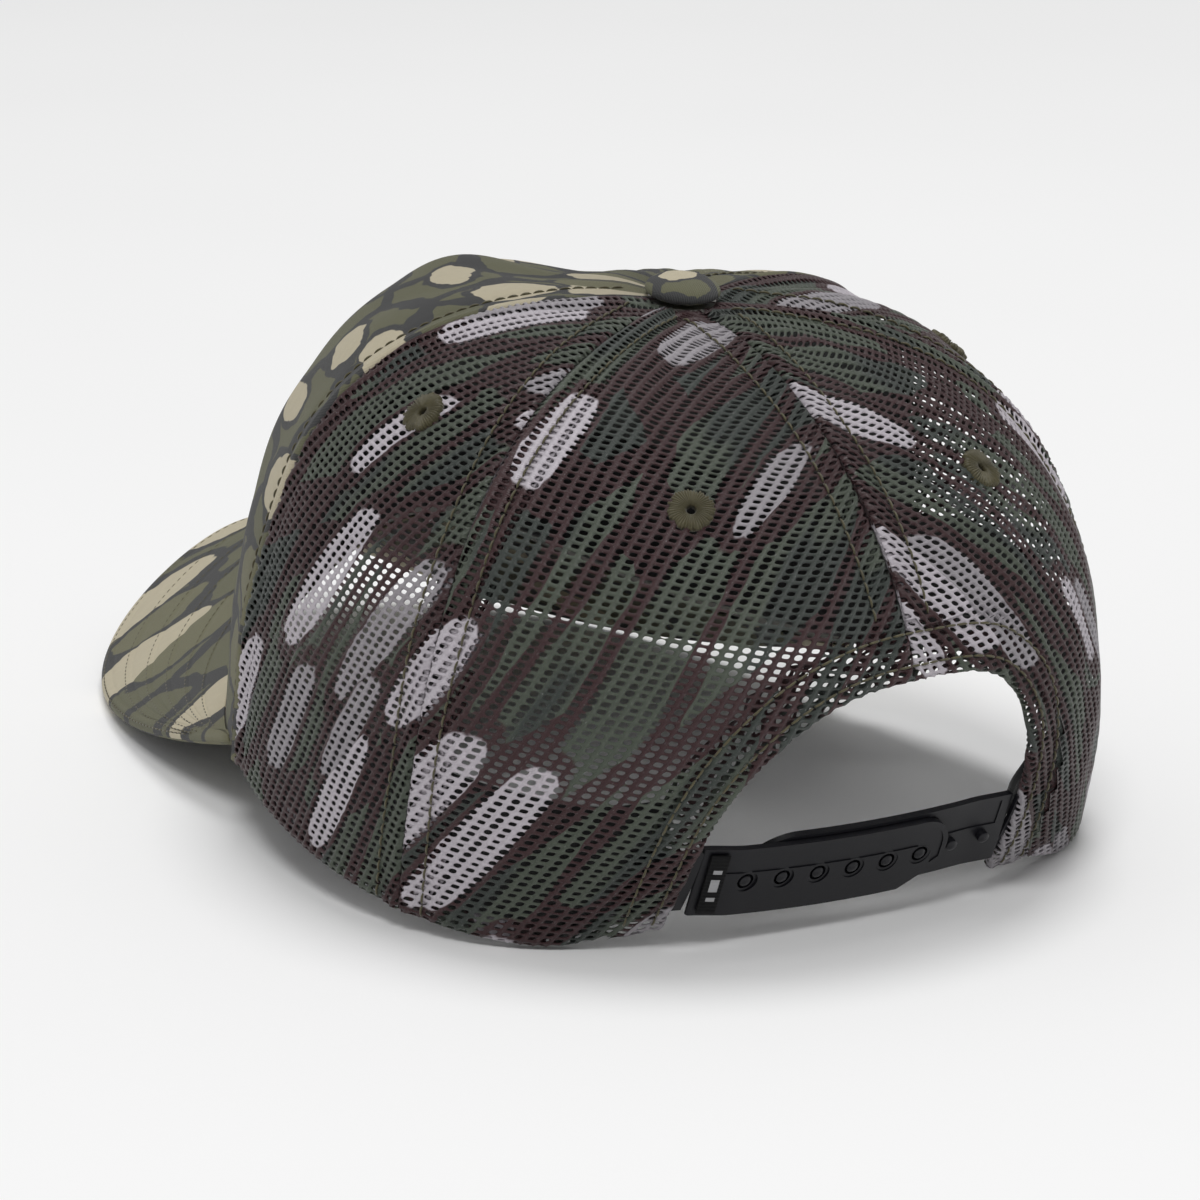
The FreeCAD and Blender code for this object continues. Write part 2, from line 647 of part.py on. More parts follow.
def sunken_field(middle, root, free_end, middle_z, corner):
    """Shallow field in the outer face, between the border at the top and the pad that the snaps stand on."""
    back = math.copysign(1, root - free_end)
    low_z, top_z = middle_z - STRAP_WIDTH / 2, middle_z + STRAP_WIDTH / 2
    field_root = root - FIELD_SETBACK * back
    field = strap_outline(field_root, free_end + FIELD_INSET * back, low_z + FIELD_INSET, top_z - FIELD_INSET,
                          corner - FIELD_INSET)
    pad = strap_outline(root, free_end + PAD_END * back, low_z, PAD_TOP, PAD_CORNER)

    def outer_face(x):
        return middle(x) + STRAP_THICKNESS / 2
    skin = strap_band(outer_face, root, free_end, STRAP_WIDTH, 2 * FIELD_DEPTH, middle_z)
    return skin.common(field.cut(pad))


def across_strap(radius, x, y, length):
    """Cylinder that stands on a strap, from y outwards."""
    return Part.makeCylinder(radius, length, vector(x, y, 0), Y_AXIS)


def plain_strap(middle, root, free_end, middle_z, corner):
    """Strap without its snaps. Its root is rounded about the line it bends on."""
    back = math.copysign(1, root - free_end)
    low_z, top_z = middle_z - STRAP_WIDTH / 2, middle_z + STRAP_WIDTH / 2
    band = strap_band(middle, root, free_end - back, STRAP_WIDTH, STRAP_THICKNESS, middle_z)
    barrel = Part.makeCylinder(STRAP_THICKNESS / 2, STRAP_WIDTH, vector(root, middle(root), low_z), Z_AXIS)
    strap = band.common(strap_outline(root + back, free_end, low_z, top_z, corner)).fuse(barrel)
    return strap.cut(sunken_field(middle, root, free_end, middle_z, corner))


def holed_strap():
    strap = plain_strap(holed_middle, HOLED_ROOT, HOLED_FREE_END, 0, HOLED_CORNER)
    for index in range(HOLE_COUNT):
        x = FIRST_HOLE_X - index * SNAP_PITCH
        hole_reach = 2.0
        ring_floor = holed_middle(x) + STRAP_THICKNESS / 2 - RING_DEPTH
        strap = strap.cut(across_strap(HOLE_RADIUS, x, holed_middle(x) - hole_reach, 2 * hole_reach))
        strap = strap.cut(across_strap(RING_RADIUS, x, ring_floor, hole_reach))
    return place_strap(strap)


def pegged_strap():
    strap = plain_strap(pegged_middle, PEGGED_ROOT, PEGGED_FREE_END, PEGGED_LIFT, PEGGED_CORNER)
    last_hole = FIRST_HOLE_X - (HOLE_COUNT - 1) * SNAP_PITCH
    for index in range(PEG_COUNT):
        x = last_hole + (index - FREE_PEGS) * SNAP_PITCH
        face = pegged_middle(x) + STRAP_THICKNESS / 2
        stem = across_strap(PEG_RADIUS, x, face - PEG_ROOT_DEPTH, PEG_HEIGHT + PEG_ROOT_DEPTH - PEG_DOME)
        dome_radius = (PEG_RADIUS ** 2 + PEG_DOME ** 2) / (2 * PEG_DOME)
        ball = Part.makeSphere(dome_radius, vector(x, face + PEG_HEIGHT - dome_radius, 0))
        tip = ball.common(across_strap(2 * PEG_RADIUS, x, face + PEG_HEIGHT - PEG_DOME, PEG_HEIGHT))
        strap = strap.fuse(stem.fuse(tip))
    return place_strap(strap)


def strap_tab(side, root, middle_z):
    """Sewn end of a strap: it lies against the inside of the hem and the panel."""
    start = abs(root) + STRAP_THICKNESS / 2 + HINGE_CLEARANCE
    width = (STRAP_WIDTH - 1) * math.cos(math.radians(STRAP_TILT))

    def point(u, v, face):
        height = STRAP_HEIGHT + middle_z + width * (v - 0.5)
        depth = tab_depth() + TAB_THICKNESS * (face - 0.5)
        azimuth = azimuth_at_x(start + TAB_LENGTH * u, height, depth)
        return layer_point(azimuth, rise_at_height(azimuth, height), depth)
    tab = curved_block(point, 4, 4)
    return tab if side == LEFT else tab.mirror(ORIGIN, X_AXIS)


def loop_label():
    """Folded woven tab in front of the holed strap's root."""
    def middle(x):
        return holed_middle(x) + STRAP_THICKNESS / 2 + LAYER_GAP + LABEL_THICKNESS / 2
    root = HOLED_ROOT - LABEL_ROOT_SETBACK
    flap = strap_band(middle, root, root - LABEL_WIDTH, LABEL_HEIGHT, LABEL_THICKNESS, 0)
    return place_strap(flap)


# ---- Assembly ----

def seat(shape):
    """Leans the cap back about the middle of its opening, the way it stands on a table."""
    seated = shape.copy()
    seated.rotate(ORIGIN, X_AXIS, -LEAN)
    return seated


PIECES = {
    "front_panel": front_panel,
    "front_lining": front_lining,
    "side_mesh_left": lambda: side_mesh(LEFT),
    "side_mesh_right": lambda: side_mesh(RIGHT),
    "rear_mesh_left": lambda: rear_mesh(LEFT),
    "rear_mesh_right": lambda: rear_mesh(RIGHT),
    "arch_hem": arch_hem,
    "arch_stitching": arch_stitching,
    "sweatband": sweatband,
    "seam_tape_front_left": lambda: seam_tape(FRONT_SEAM),
    "seam_tape_front_right": lambda: seam_tape(-FRONT_SEAM),
    "seam_tape_rear_left": lambda: seam_tape(REAR_SEAM),
    "seam_tape_rear_right": lambda: seam_tape(-REAR_SEAM),
    "seam_tape_back": lambda: seam_tape(BACK, above_arch),
    "crown_stitching": crown_stitching,
    "eyelet_side_left": lambda: eyelet((FRONT_SEAM + REAR_SEAM) / 2),
    "eyelet_side_right": lambda: eyelet(-(FRONT_SEAM + REAR_SEAM) / 2),
    "eyelet_rear_left": lambda: eyelet((REAR_SEAM + BACK) / 2),
    "eyelet_rear_right": lambda: eyelet(-(REAR_SEAM + BACK) / 2),
    "button_cover": button_cover,
    "button_shell": button_shell,
    "button_washer": button_washer,
    "brim_board": brim_board,
    "brim_top_cover": brim_top_cover,
    "brim_under_cover": brim_under_cover,
    "brim_stitching": brim_stitching,
    "holed_strap": holed_strap,
    "holed_strap_tab": lambda: strap_tab(LEFT, HOLED_ROOT, 0),
    "pegged_strap": pegged_strap,
    "pegged_strap_tab": lambda: strap_tab(RIGHT, PEGGED_ROOT, PEGGED_LIFT),
    "loop_label": loop_label,
}

os.makedirs("parts", exist_ok=True)
for name, build in PIECES.items():
    seat(build()).exportStep("parts/" + name + ".step")
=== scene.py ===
import json
import math
import bpy
import numpy as np
from mathutils import Matrix, Vector


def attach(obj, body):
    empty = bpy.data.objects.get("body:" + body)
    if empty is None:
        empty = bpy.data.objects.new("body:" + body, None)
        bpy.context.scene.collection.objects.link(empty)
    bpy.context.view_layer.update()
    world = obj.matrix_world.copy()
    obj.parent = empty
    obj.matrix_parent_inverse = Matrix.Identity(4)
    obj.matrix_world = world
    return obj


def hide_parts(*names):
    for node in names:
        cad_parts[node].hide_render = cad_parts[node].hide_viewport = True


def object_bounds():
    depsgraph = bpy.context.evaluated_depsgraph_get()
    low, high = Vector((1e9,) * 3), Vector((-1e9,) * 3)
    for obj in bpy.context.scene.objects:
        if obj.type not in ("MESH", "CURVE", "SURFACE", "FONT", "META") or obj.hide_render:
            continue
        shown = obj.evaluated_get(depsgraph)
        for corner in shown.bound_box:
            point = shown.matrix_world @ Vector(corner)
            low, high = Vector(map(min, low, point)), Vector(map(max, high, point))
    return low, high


# Trucker cap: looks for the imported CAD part. The cloth pieces are built here on the crown's own surface.
# Sizes are in mm and degrees in the cap's own frame: z = 0 is the plane of the head opening, -Y points to
# the brim and +X to the wearer's left. to_row() leans the cap back onto its brim and gives metres in the
# row frame. An azimuth is 0 at the middle of the front and grows towards +X. A climb is the distance up a
# meridian from z = 0. A rise is a meridian's own parameter: 0 at the bottom and 90 at the apex.
MM_PER_M = 1000

# ---- Crown, as in the CAD ----
HALF_WIDTH = 86.5
FRONT_DEPTH = 114.5
REAR_DEPTH = 102.5
CROWN_HEIGHT = 106.0
APEX_SHIFT = -9.4
FRONT_EXPONENT = 2.80
SIDE_EXPONENT = 2.93
REAR_EXPONENT = 2.35
EXPONENT_BLEND = 1.5         # how quickly the front's and the rear's exponents give way to the side's
STRAP_PULL = 0.35
PULL_HEIGHT = 80.0
BOW_HEIGHT = 12.0
BOW_START = (66.0, 84.0)
BOW_END = (98.0, 122.0)
SAG = (-10.0, -70.0, 26.0, -11.0)    # middle x and y, reach and height of the sunken top
PEAK = (23.0, -65.0, 14.0, 6.0)      # and of the front panel's blunt peak
BUMP_HEIGHTS = (40.0, 90.0)
BUMP_RADII = (8.0, 34.0)
FRONT_SEAM = 70.0
REAR_SEAM = 110.5
BACK = 180.0
HUB_RADIUS = 4.0
LEAN = 9.0

# ---- Rear arch, brim and button, as in the CAD ----
ARCH_HALF_WIDTH = 37.6
ARCH_TOP = 59.7
ARCH_EXPONENT = 2.7
ARCH_SIDE_SHIFT = 3.0
ARCH_TOP_SHIFT = -4.5
ARCH_CORNER_LIFT = 6.0
ARCH_LEG_BOTTOM = -14.0      # the arch's edge goes straight down below its feet to here
LIFT_FROM = 133.0
LIFT_TO = 154.0
HEM_WIDTH = 10.0
HEM_STITCHES = (3.0, 8.5)
BRIM_SEAM = 65.3
BRIM_HALF_WIDTH = 78.0
BRIM_LENGTH = 79.8
BRIM_EXPONENT = 2.31
BRIM_RISE = 17.6
BRIM_PITCH = 23.2
BRIM_CREST_RADIUS = 18.0
BRIM_HALF_THICKNESS = 1.8
BRIM_STITCH_ROWS = 6
FIRST_BRIM_ROW = 0.96
BRIM_ROW_SPACING = 0.143
BRIM_REACH = 0.998           # the covers reach almost to the pointed corners
BUTTON_RADIUS = 7.5
BUTTON_HEIGHT = 4.0
EYELET_RISE = 51.8
EYELET_RADIUS = 4.5
EYELET_HOLE = 1.0
EYELET_GRIP = 1.2            # how far the embroidery covers the mesh
EYELET_STAND = 0.75          # how far it stands off on each side
EYELET_THREADS = 44
THREAD_SHAPE = (-0.3, 0.0, 0.1, 0.0)     # heights across one thread, beginning in the groove beside it

# ---- Cloth ----
PANEL_THICKNESS = 0.8
SEAM_TO_STITCH = 6.0
LINING_THICKNESS = 0.8
LINING_GAP = 0.2
LINING_TOP = 26.0            # the lining stops this far from the apex
LINING_MARGIN = 6.0          # and this far from the front seams
TAPE_HALF_WIDTH = 5.0
TAPE_THICKNESS = 0.4
TAPE_STOP = 15.0
STITCH_STOP = 12.0           # the seams' stitch rows stop this far from the apex
ABOVE_ARCH = ARCH_TOP + HEM_WIDTH + 1.0
SWEATBAND_HEIGHT = 32.0
SWEATBAND_DEPTH = 2.2
SWEATBAND_THICKNESS = 1.5
SWEATBAND_RAISE = 0.5        # its lower edge above the rim
SWEATBAND_ENDS = (42.6, 36.6)        # x of its left end and its right end, on a circle of the next radius
SWEATBAND_RADIUS = 79.0
SWEATBAND_SCOOP = 5.5        # its right end is scooped out by this much part of the way up
SCOOP_START = (0.3, 0.45)
SCOOP_END = (0.65, 1.0)
LABEL_WIDTH = 4.0
LABEL_HEIGHT = 15.0
LABEL_THICKNESS = 0.9
LABEL_LEAN = 14.0            # it follows the strap, which stands off towards its middle
LABEL_FOLD = 0.86            # share of its width at which the fold begins
LABEL_RIB = 0.45             # pitch of its woven ribs is twice this
CROWN_STITCH = dict(length=2.3, gap=0.4, radius=0.24, lift=0.1)
BRIM_STITCH = dict(length=2.1, gap=0.3, radius=0.15, lift=0.0)
STITCH_BOW = np.array([-0.77, 0.35, 0.70, 0.35, -0.77])      # heights along one stitch, in thread radii
STITCH_GIRTH = np.array([0.7, 1.0, 1.0, 1.0, 0.7])
BRIM_STITCH_REACH = 0.93     # share of the brim's half width covered by its stitch rows
BRIM_EDGE_START = 0.96       # share of a brim cover before it turns over the outer edge
BRIM_COVER_THICKNESS = 0.5
BRIM_STITCH_PRESS = 0.168    # how deep the brim's stitch rows press in
BRIM_PRESS_FADE = 0.06

# ---- How the cloth stands off the smooth crown: heights, and the widths they fade over ----
RIDGE_HEIGHT, RIDGE_WIDTH = 0.95, 2.6            # a ridge along each seam
GROOVE_DEPTH, GROOVE_WIDTH = 1.1, 0.6            # with the seam in its middle
STITCH_DEPTH, STITCH_WIDTH = 0.35, 1.1
WAVE_HEIGHT = 0.45
WAVES = ((0.21, 0.06), (0.045, 0.083), (0.43, -0.11))        # phase per degree of azimuth and per mm up
WAVE_FADE = 30.0             # waves fade out towards the rim
PLEAT_HEIGHT, PLEAT_RADIUS, PLEAT_REACH = 0.35, 13.0, 7.0    # radial pleats round the button
PLEAT_COUNT, PLEAT_TURN = 9, 40.0
DIP_DEPTH, DIP_REACH = 1.3, 17.0                 # the button pulls the top in
APEX_CALM, APEX_FADE = 10.0, 25.0                # seams and waves begin outside this radius
HEM_PUFF, HEM_PUFF_WIDTH = 0.4, 2.5              # the doubled hem swells between its stitch rows
HEM_PULL, HEM_PULL_WIDTH = 0.22, 1.0

# ---- Knitted mesh ----
HOLE_PITCH = 2.65            # across, from one hole to the next
ROW_PITCH = 1.57             # up the panel
GRAIN_SHEAR = 0.45           # the columns of holes lean towards the back by this much per mm of climb
HOLE_WIDTH = 1.62
ROUND_HOLE_HEIGHT = 1.2      # every other column has flatter holes
FLAT_HOLE_HEIGHT = 0.94
WALE_HALF = 0.36             # half the thickness of the yarn between columns of holes
COURSE_HALF = 0.25           # between rows
RIM_HALF = 0.12              # and at a hole's edge
SEAM_ALLOWANCE = 6.5         # mesh turned in along the panel seams
ALLOWANCE_DROP = 0.75        # how far it lies below the panel
TURN_RADIUS = 0.75           # radius of the fold at the arch's edge and at the rim
TURNED_WIDTH = 10.5          # width of mesh folded to the inside of the arch
RIM_TURNED_WIDTH = 5.0
HOLE_CORNERS = 12
ROUND_HOLE_POWER = 0.92      # below 1 a hole's outline is fuller than an ellipse
FLAT_HOLE_POWER = 0.62
HOLE_SIZE_SPREAD = 0.07      # unevenness of the knitting
HOLE_DRIFT = 0.05
SHEAR_CENTRE = 60.0          # climb at which a panel's middle column crosses its middle line
PANEL_REACH = 70.0           # half the width of cloth that can be needed for one panel
CLOTH_ACROSS = (-130, 110)
CLOTH_UP = (-24, 185)
SMALLEST_FACE = 1e-4

# ---- Layout of sheets and tables ----
TABLE_SPACING = 2.0          # degrees between the tabled meridians
TABLE_POINTS = 400
TABLE_CROWDING = 1.6         # their points crowd towards the bottom
ROW_CROWDING = 1.3           # so do the rows of sheets and stitch rows
ARCH_SAMPLES = 400
SETTLING_ROUNDS = 6

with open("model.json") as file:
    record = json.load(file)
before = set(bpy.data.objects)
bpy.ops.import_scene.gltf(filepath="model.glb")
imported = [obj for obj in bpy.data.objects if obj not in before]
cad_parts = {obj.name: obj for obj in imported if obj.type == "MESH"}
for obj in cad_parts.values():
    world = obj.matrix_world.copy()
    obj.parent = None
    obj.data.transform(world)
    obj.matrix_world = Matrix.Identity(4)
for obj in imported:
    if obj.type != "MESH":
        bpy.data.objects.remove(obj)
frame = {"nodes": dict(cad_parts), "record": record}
cad_low, cad_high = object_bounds()
dice = np.random.default_rng(11)


# ---- The crown's surface, for whole arrays of points ----

def to_row(points):
    """Points in mm in the cap's frame as metres in the row frame."""
    lean = math.radians(LEAN)
    x, y, z = points[..., 0], points[..., 1], points[..., 2]
    y_row = y * math.cos(lean) + z * math.sin(lean)
    z_row = z * math.cos(lean) - y * math.sin(lean)
    return np.stack([x, y_row, z_row], axis=-1) / MM_PER_M


def smooth_step(value):
    value = np.clip(value, 0, 1)
    return value * value * (3 - 2 * value)


def ramp(value, start, end):
    """0 before start, 1 after end, smooth between."""
    return smooth_step((value - start) / (end - start))


def bell(distance, width):
    return np.exp(-(distance / width) ** 2)


def bump(x, y, middle_x, middle_y, reach, height):
    """Round hill or hollow over the plan."""
    return height * np.exp(-((x - middle_x) ** 2 + (y - middle_y) ** 2) / (2 * reach ** 2))


def crown_exponent(azimuth):
    forward = np.cos(np.radians(azimuth))
    return (SIDE_EXPONENT + (FRONT_EXPONENT - SIDE_EXPONENT) * np.maximum(forward, 0) ** EXPONENT_BLEND
            + (REAR_EXPONENT - SIDE_EXPONENT) * np.maximum(-forward, 0) ** EXPONENT_BLEND)


def crown_point(azimuth, rise):
    """Point on the crown's smooth outer surface."""
    angle = np.radians(azimuth)
    forward = np.cos(angle)
    depth = np.where(forward > 0, FRONT_DEPTH, REAR_DEPTH)
    power = 2 / crown_exponent(azimuth)
    spread = np.maximum(np.cos(np.radians(rise)), 0) ** power
    height = CROWN_HEIGHT * np.maximum(np.sin(np.radians(rise)), 0) ** power
    pull = STRAP_PULL * np.clip(1 - height / PULL_HEIGHT, 0, 1) ** 2 * np.maximum(-forward, 0) ** 2
    x = HALF_WIDTH * np.sin(angle) * spread
    y = APEX_SHIFT * (1 - spread) - depth * forward * spread * (1 - pull)
    share = ramp(height, *BUMP_HEIGHTS) * ramp(np.hypot(x, y - APEX_SHIFT), *BUMP_RADII)
    return np.stack([x, y, height + share * (bump(x, y, *SAG) + bump(x, y, *PEAK))], axis=-1)


def crown_normal(azimuth, rise):
    step = 0.5
    around = crown_point(azimuth + step, rise) - crown_point(azimuth - step, rise)
    above = crown_point(azimuth, np.minimum(rise + step, 90))
    below = crown_point(azimuth, np.maximum(rise - step, 0))
    normal = np.cross(around, above - below)
    return normal / np.linalg.norm(normal, axis=-1, keepdims=True)


def ring_radius(azimuth, rise):
    """Distance travelled round the crown for one radian of azimuth."""
    step = 0.25
    across = crown_point(azimuth + step, rise) - crown_point(azimuth - step, rise)
    return np.linalg.norm(across, axis=-1) / math.radians(2 * step)


def rise_at_height(azimuth, height):
    share = np.clip(height / CROWN_HEIGHT, 0, 1)
    return np.degrees(np.arcsin(share ** (crown_exponent(azimuth) / 2)))


def meridian_tables():
    """Azimuths, lengths, and rises at even shares of the length, for evenly spaced meridians."""
    azimuths = np.arange(-BACK, BACK + TABLE_SPACING, TABLE_SPACING)
    rises = 90 * np.linspace(0, 1, TABLE_POINTS) ** TABLE_CROWDING
    points = crown_point(azimuths[:, None], rises[None, :])
    steps = np.linalg.norm(np.diff(points, axis=1), axis=-1)
    climbs = np.concatenate([np.zeros((len(azimuths), 1)), np.cumsum(steps, axis=1)], axis=1)
    lengths = climbs[:, -1]
    even = np.linspace(0, 1, TABLE_POINTS)
    table = np.stack([np.interp(even, climb / length, rises) for climb, length in zip(climbs, lengths)])
    return azimuths, lengths, table


TABLE_AZIMUTHS, TABLE_LENGTHS, TABLE_RISES = meridian_tables()


def signed_azimuth(azimuth):
    """The azimuth as -180 to 180."""
    return (azimuth + BACK) % (2 * BACK) - BACK


def meridian_length(azimuth):
    return np.interp(signed_azimuth(azimuth), TABLE_AZIMUTHS, TABLE_LENGTHS)


def rise_at_climb(azimuth, climb):
    """The rise at a climb, interpolated between the tabled meridians."""
    short_of_last = 1.001
    share = np.clip(climb / meridian_length(azimuth), 0, 1)
    column = (signed_azimuth(azimuth) + BACK) / TABLE_SPACING
    column = np.clip(column, 0, len(TABLE_AZIMUTHS) - short_of_last)
    row = share * (TABLE_POINTS - short_of_last)
    i, j = column.astype(int), row.astype(int)
    a, b = column - i, row - j
    low = TABLE_RISES[i, j] * (1 - b) + TABLE_RISES[i, j + 1] * b
    high = TABLE_RISES[i + 1, j] * (1 - b) + TABLE_RISES[i + 1, j + 1] * b
    return low * (1 - a) + high * a


def rise_along(azimuth, low, stop, share):
    """Rise at a share of the way from a height to a distance short of the apex."""
    low_rise = rise_at_height(azimuth, low)
    high_rise = rise_at_climb(azimuth, meridian_length(azimuth) - stop)
    return low_rise + (high_rise - low_rise) * share ** ROW_CROWDING


def axis_distance(point):
    """Distance from the upright line through the apex."""
    return np.hypot(point[..., 0], point[..., 1] - APEX_SHIFT)


def seam_distance(azimuth, rise):
    """Distance from the nearest panel seam."""
    turned = np.abs(signed_azimuth(azimuth))
    gaps = [np.abs(turned - seam) for seam in (FRONT_SEAM, REAR_SEAM, BACK)]
    return np.radians(np.minimum.reduce(gaps)) * ring_radius(azimuth, rise)


def soft_waves(azimuth, height):
    """Slow uneven waves, as slack cloth makes."""
    first, second, third = (np.sin(azimuth * turn + height * climb) for turn, climb in WAVES)
    return first * second + 0.5 * third


def relief(azimuth, rise):
    """How far the cloth stands off the smooth crown, for its seams, stitch rows, waves and the button."""
    from_seam = seam_distance(azimuth, rise)
    point = crown_point(azimuth, rise)
    from_axis = axis_distance(point)
    height = point[..., 2]
    away = smooth_step((from_axis - APEX_CALM) / APEX_FADE)
    seams = RIDGE_HEIGHT * bell(from_seam, RIDGE_WIDTH) - GROOVE_DEPTH * bell(from_seam, GROOVE_WIDTH)
    rows = -STITCH_DEPTH * bell(from_seam - SEAM_TO_STITCH, STITCH_WIDTH)
    waves = WAVE_HEIGHT * soft_waves(azimuth, height) * smooth_step(height / WAVE_FADE)
    folds = PLEAT_HEIGHT * np.cos(np.radians(azimuth * PLEAT_COUNT + PLEAT_TURN))
    pleats = folds * bell(from_axis - PLEAT_RADIUS, PLEAT_REACH)
    return (seams + rows + waves) * away + pleats - DIP_DEPTH * bell(from_axis, DIP_REACH)


def layer_point(azimuth, rise, offset):
    """Point at a distance outside (+) or inside (-) the cloth's outer surface."""
    stand_off = (offset + relief(azimuth, rise))[..., None]
    return crown_point(azimuth, rise) + crown_normal(azimuth, rise) * stand_off


def rim_height(azimuth):
    """Height of the crown's lower edge: on the brim in front, lifted at the arch, bowed up on the right."""
    signed = signed_azimuth(azimuth)
    turn = np.abs(signed)
    root = crown_point(np.minimum(turn, BRIM_SEAM), np.zeros_like(turn))
    on_brim = np.maximum(brim_height(root[..., 0], root[..., 1]) + BRIM_HALF_THICKNESS, 0)
    fade = 1 - ramp(turn, BRIM_SEAM, FRONT_SEAM)
    lift = ARCH_CORNER_LIFT * ramp(turn, LIFT_FROM, LIFT_TO)
    bow = np.where(signed < 0, BOW_HEIGHT * ramp(turn, *BOW_START) * (1 - ramp(turn, *BOW_END)), 0)
    return np.where(turn < FRONT_SEAM, on_brim * fade, lift) + bow


def rim_at(azimuth):
    return float(rim_height(np.array([float(azimuth)]))[0])


def azimuth_beside(seam, distance, rise):
    """Azimuth of a line that runs at a constant distance from a seam."""
    return seam + np.degrees(distance / ring_radius(seam, rise))


# ---- Brim surface ----

def crest(x):
    return np.sqrt(1 + (x / BRIM_CREST_RADIUS) ** 2) - 1


def brim_height(x, y):
    """Height of the brim's middle surface."""
    corner_x = HALF_WIDTH * math.sin(math.radians(BRIM_SEAM))
    corner_y = -FRONT_DEPTH * math.cos(math.radians(BRIM_SEAM))
    slope = math.tan(math.radians(BRIM_PITCH))
    drop_at_corner = BRIM_RISE + (corner_y + FRONT_DEPTH) * slope
    return BRIM_RISE - drop_at_corner * crest(x) / crest(corner_x) + (y + FRONT_DEPTH) * slope


def brim_plan(s, t, inset=0.0):
    """Point (x, y) on the brim in plan: s runs from corner to corner, t from the crown to the outer edge."""
    root = layer_root(BRIM_SEAM * s)
    angle = s * math.pi / 2
    corner_y = -FRONT_DEPTH * math.cos(math.radians(BRIM_SEAM))
    length = FRONT_DEPTH + BRIM_LENGTH + corner_y - inset
    power = 2 / BRIM_EXPONENT
    outer_x = np.copysign(np.abs(np.sin(angle)) ** power, angle) * (BRIM_HALF_WIDTH - inset)
    outer_y = corner_y - length * np.maximum(np.cos(angle), 0) ** power
    return root[..., 0] + (outer_x - root[..., 0]) * t, root[..., 1] + (outer_y - root[..., 1]) * t


def layer_root(azimuth):
    """Where the brim meets the panel's inner face."""
    rise = np.zeros_like(azimuth)
    return crown_point(azimuth, rise) - crown_normal(azimuth, rise) * PANEL_THICKNESS


def brim_point(s, t, offset, inset=0.0):
    x, y = brim_plan(s, t, inset)
    step = 0.5
    slope_x = (brim_height(x + step, y) - brim_height(x - step, y)) / (2 * step)
    slope_y = (brim_height(x, y + step) - brim_height(x, y - step)) / (2 * step)
    normal = np.stack([-slope_x, -slope_y, np.ones_like(x)], axis=-1)
    normal /= np.linalg.norm(normal, axis=-1, keepdims=True)
    return np.stack([x, y, brim_height(x, y)], axis=-1) + normal * np.asarray(offset)[..., None]


# ---- Rear arch ----

def arch_curve():
    """Points (x, z), tangents and outward normals along the arch's edge, with legs below its feet."""
    angles = np.radians(np.linspace(0, 180, ARCH_SAMPLES))
    power = 2 / ARCH_EXPONENT
    share = np.sin(angles) ** power
    middle = ARCH_SIDE_SHIFT + (ARCH_TOP_SHIFT - ARCH_SIDE_SHIFT) * share ** 3
    cosine = np.cos(angles)
    x = middle + np.copysign(np.abs(cosine) ** power, cosine) * ARCH_HALF_WIDTH
    z = ARCH_CORNER_LIFT + share * (ARCH_TOP - ARCH_CORNER_LIFT)
    leg = np.linspace(ARCH_LEG_BOTTOM, ARCH_CORNER_LIFT, ARCH_SAMPLES // 10)[:-1]
    x = np.concatenate([np.full(leg.shape, x[0]), x, np.full(leg.shape, x[-1])])
    z = np.concatenate([leg, z, leg[::-1]])
    even = resample(np.stack([x, z], axis=-1), ARCH_SAMPLES)
    tangent = np.gradient(even, axis=0)
    tangent /= np.linalg.norm(tangent, axis=-1, keepdims=True)
    normal = np.stack([tangent[:, 1], -tangent[:, 0]], axis=-1)
    return even, tangent, normal


def resample(points, count):
    """The same polyline with evenly spaced points."""
    steps = np.linalg.norm(np.diff(points, axis=0), axis=-1)
    travel = np.concatenate([[0], np.cumsum(steps)])
    even = np.linspace(0, travel[-1], count)
    return np.stack([np.interp(even, travel, points[:, k]) for k in range(points.shape[1])], axis=-1)


ARCH_POINTS, ARCH_TANGENTS, ARCH_NORMALS = arch_curve()


def nearest_on_arch(x, z):
    """Closest point of the arch's edge, its normal, and the distance from it, positive in the cloth."""
    places = np.stack([x, z], axis=-1)
    nearest = np.empty(len(places), int)
    block = 4000
    for start in range(0, len(places), block):
        gaps = places[start:start + block, None, :] - ARCH_POINTS[None, :, :]
        nearest[start:start + block] = np.argmin((gaps ** 2).sum(-1), axis=1)
    gap = places - ARCH_POINTS[nearest]
    tangent, normal = ARCH_TANGENTS[nearest], ARCH_NORMALS[nearest]
    foot = ARCH_POINTS[nearest] + tangent * (gap * tangent).sum(-1)[:, None]
    return foot, normal, (gap * normal).sum(-1)


def rear_place(x, z):
    """Azimuth and rise of the point at (x, z) on the back of the crown."""
    azimuth = BACK - np.degrees(np.arcsin(np.clip(x / HALF_WIDTH, -1, 1)))
    height = np.clip(z, 0, CROWN_HEIGHT)
    for _ in range(SETTLING_ROUNDS):
        exponent = crown_exponent(azimuth)
        spread = np.maximum(1 - (height / CROWN_HEIGHT) ** exponent, 1e-6) ** (1 / exponent)
        azimuth = BACK - np.degrees(np.arcsin(np.clip(x / HALF_WIDTH / spread, -1, 1)))
    return azimuth, rise_at_height(azimuth, height)


def turned_edge(travel, height):
    """A sheet folded back on itself. travel is the distance along it from the fold, and height the place in
    its thickness. Gives the distance from the fold's outermost line and the offset from the outer layer."""
    quarter = math.pi * TURN_RADIUS / 2
    turn = np.clip((quarter - travel) / TURN_RADIUS, 0, math.pi)
    from_edge = quarter - TURN_RADIUS * np.sin(turn) + np.maximum(np.abs(travel) - quarter, 0)
    offset = TURN_RADIUS * (np.cos(turn) - 1) + height * np.cos(turn)
    return from_edge - height * np.sin(turn), offset


# ---- Meshes ----

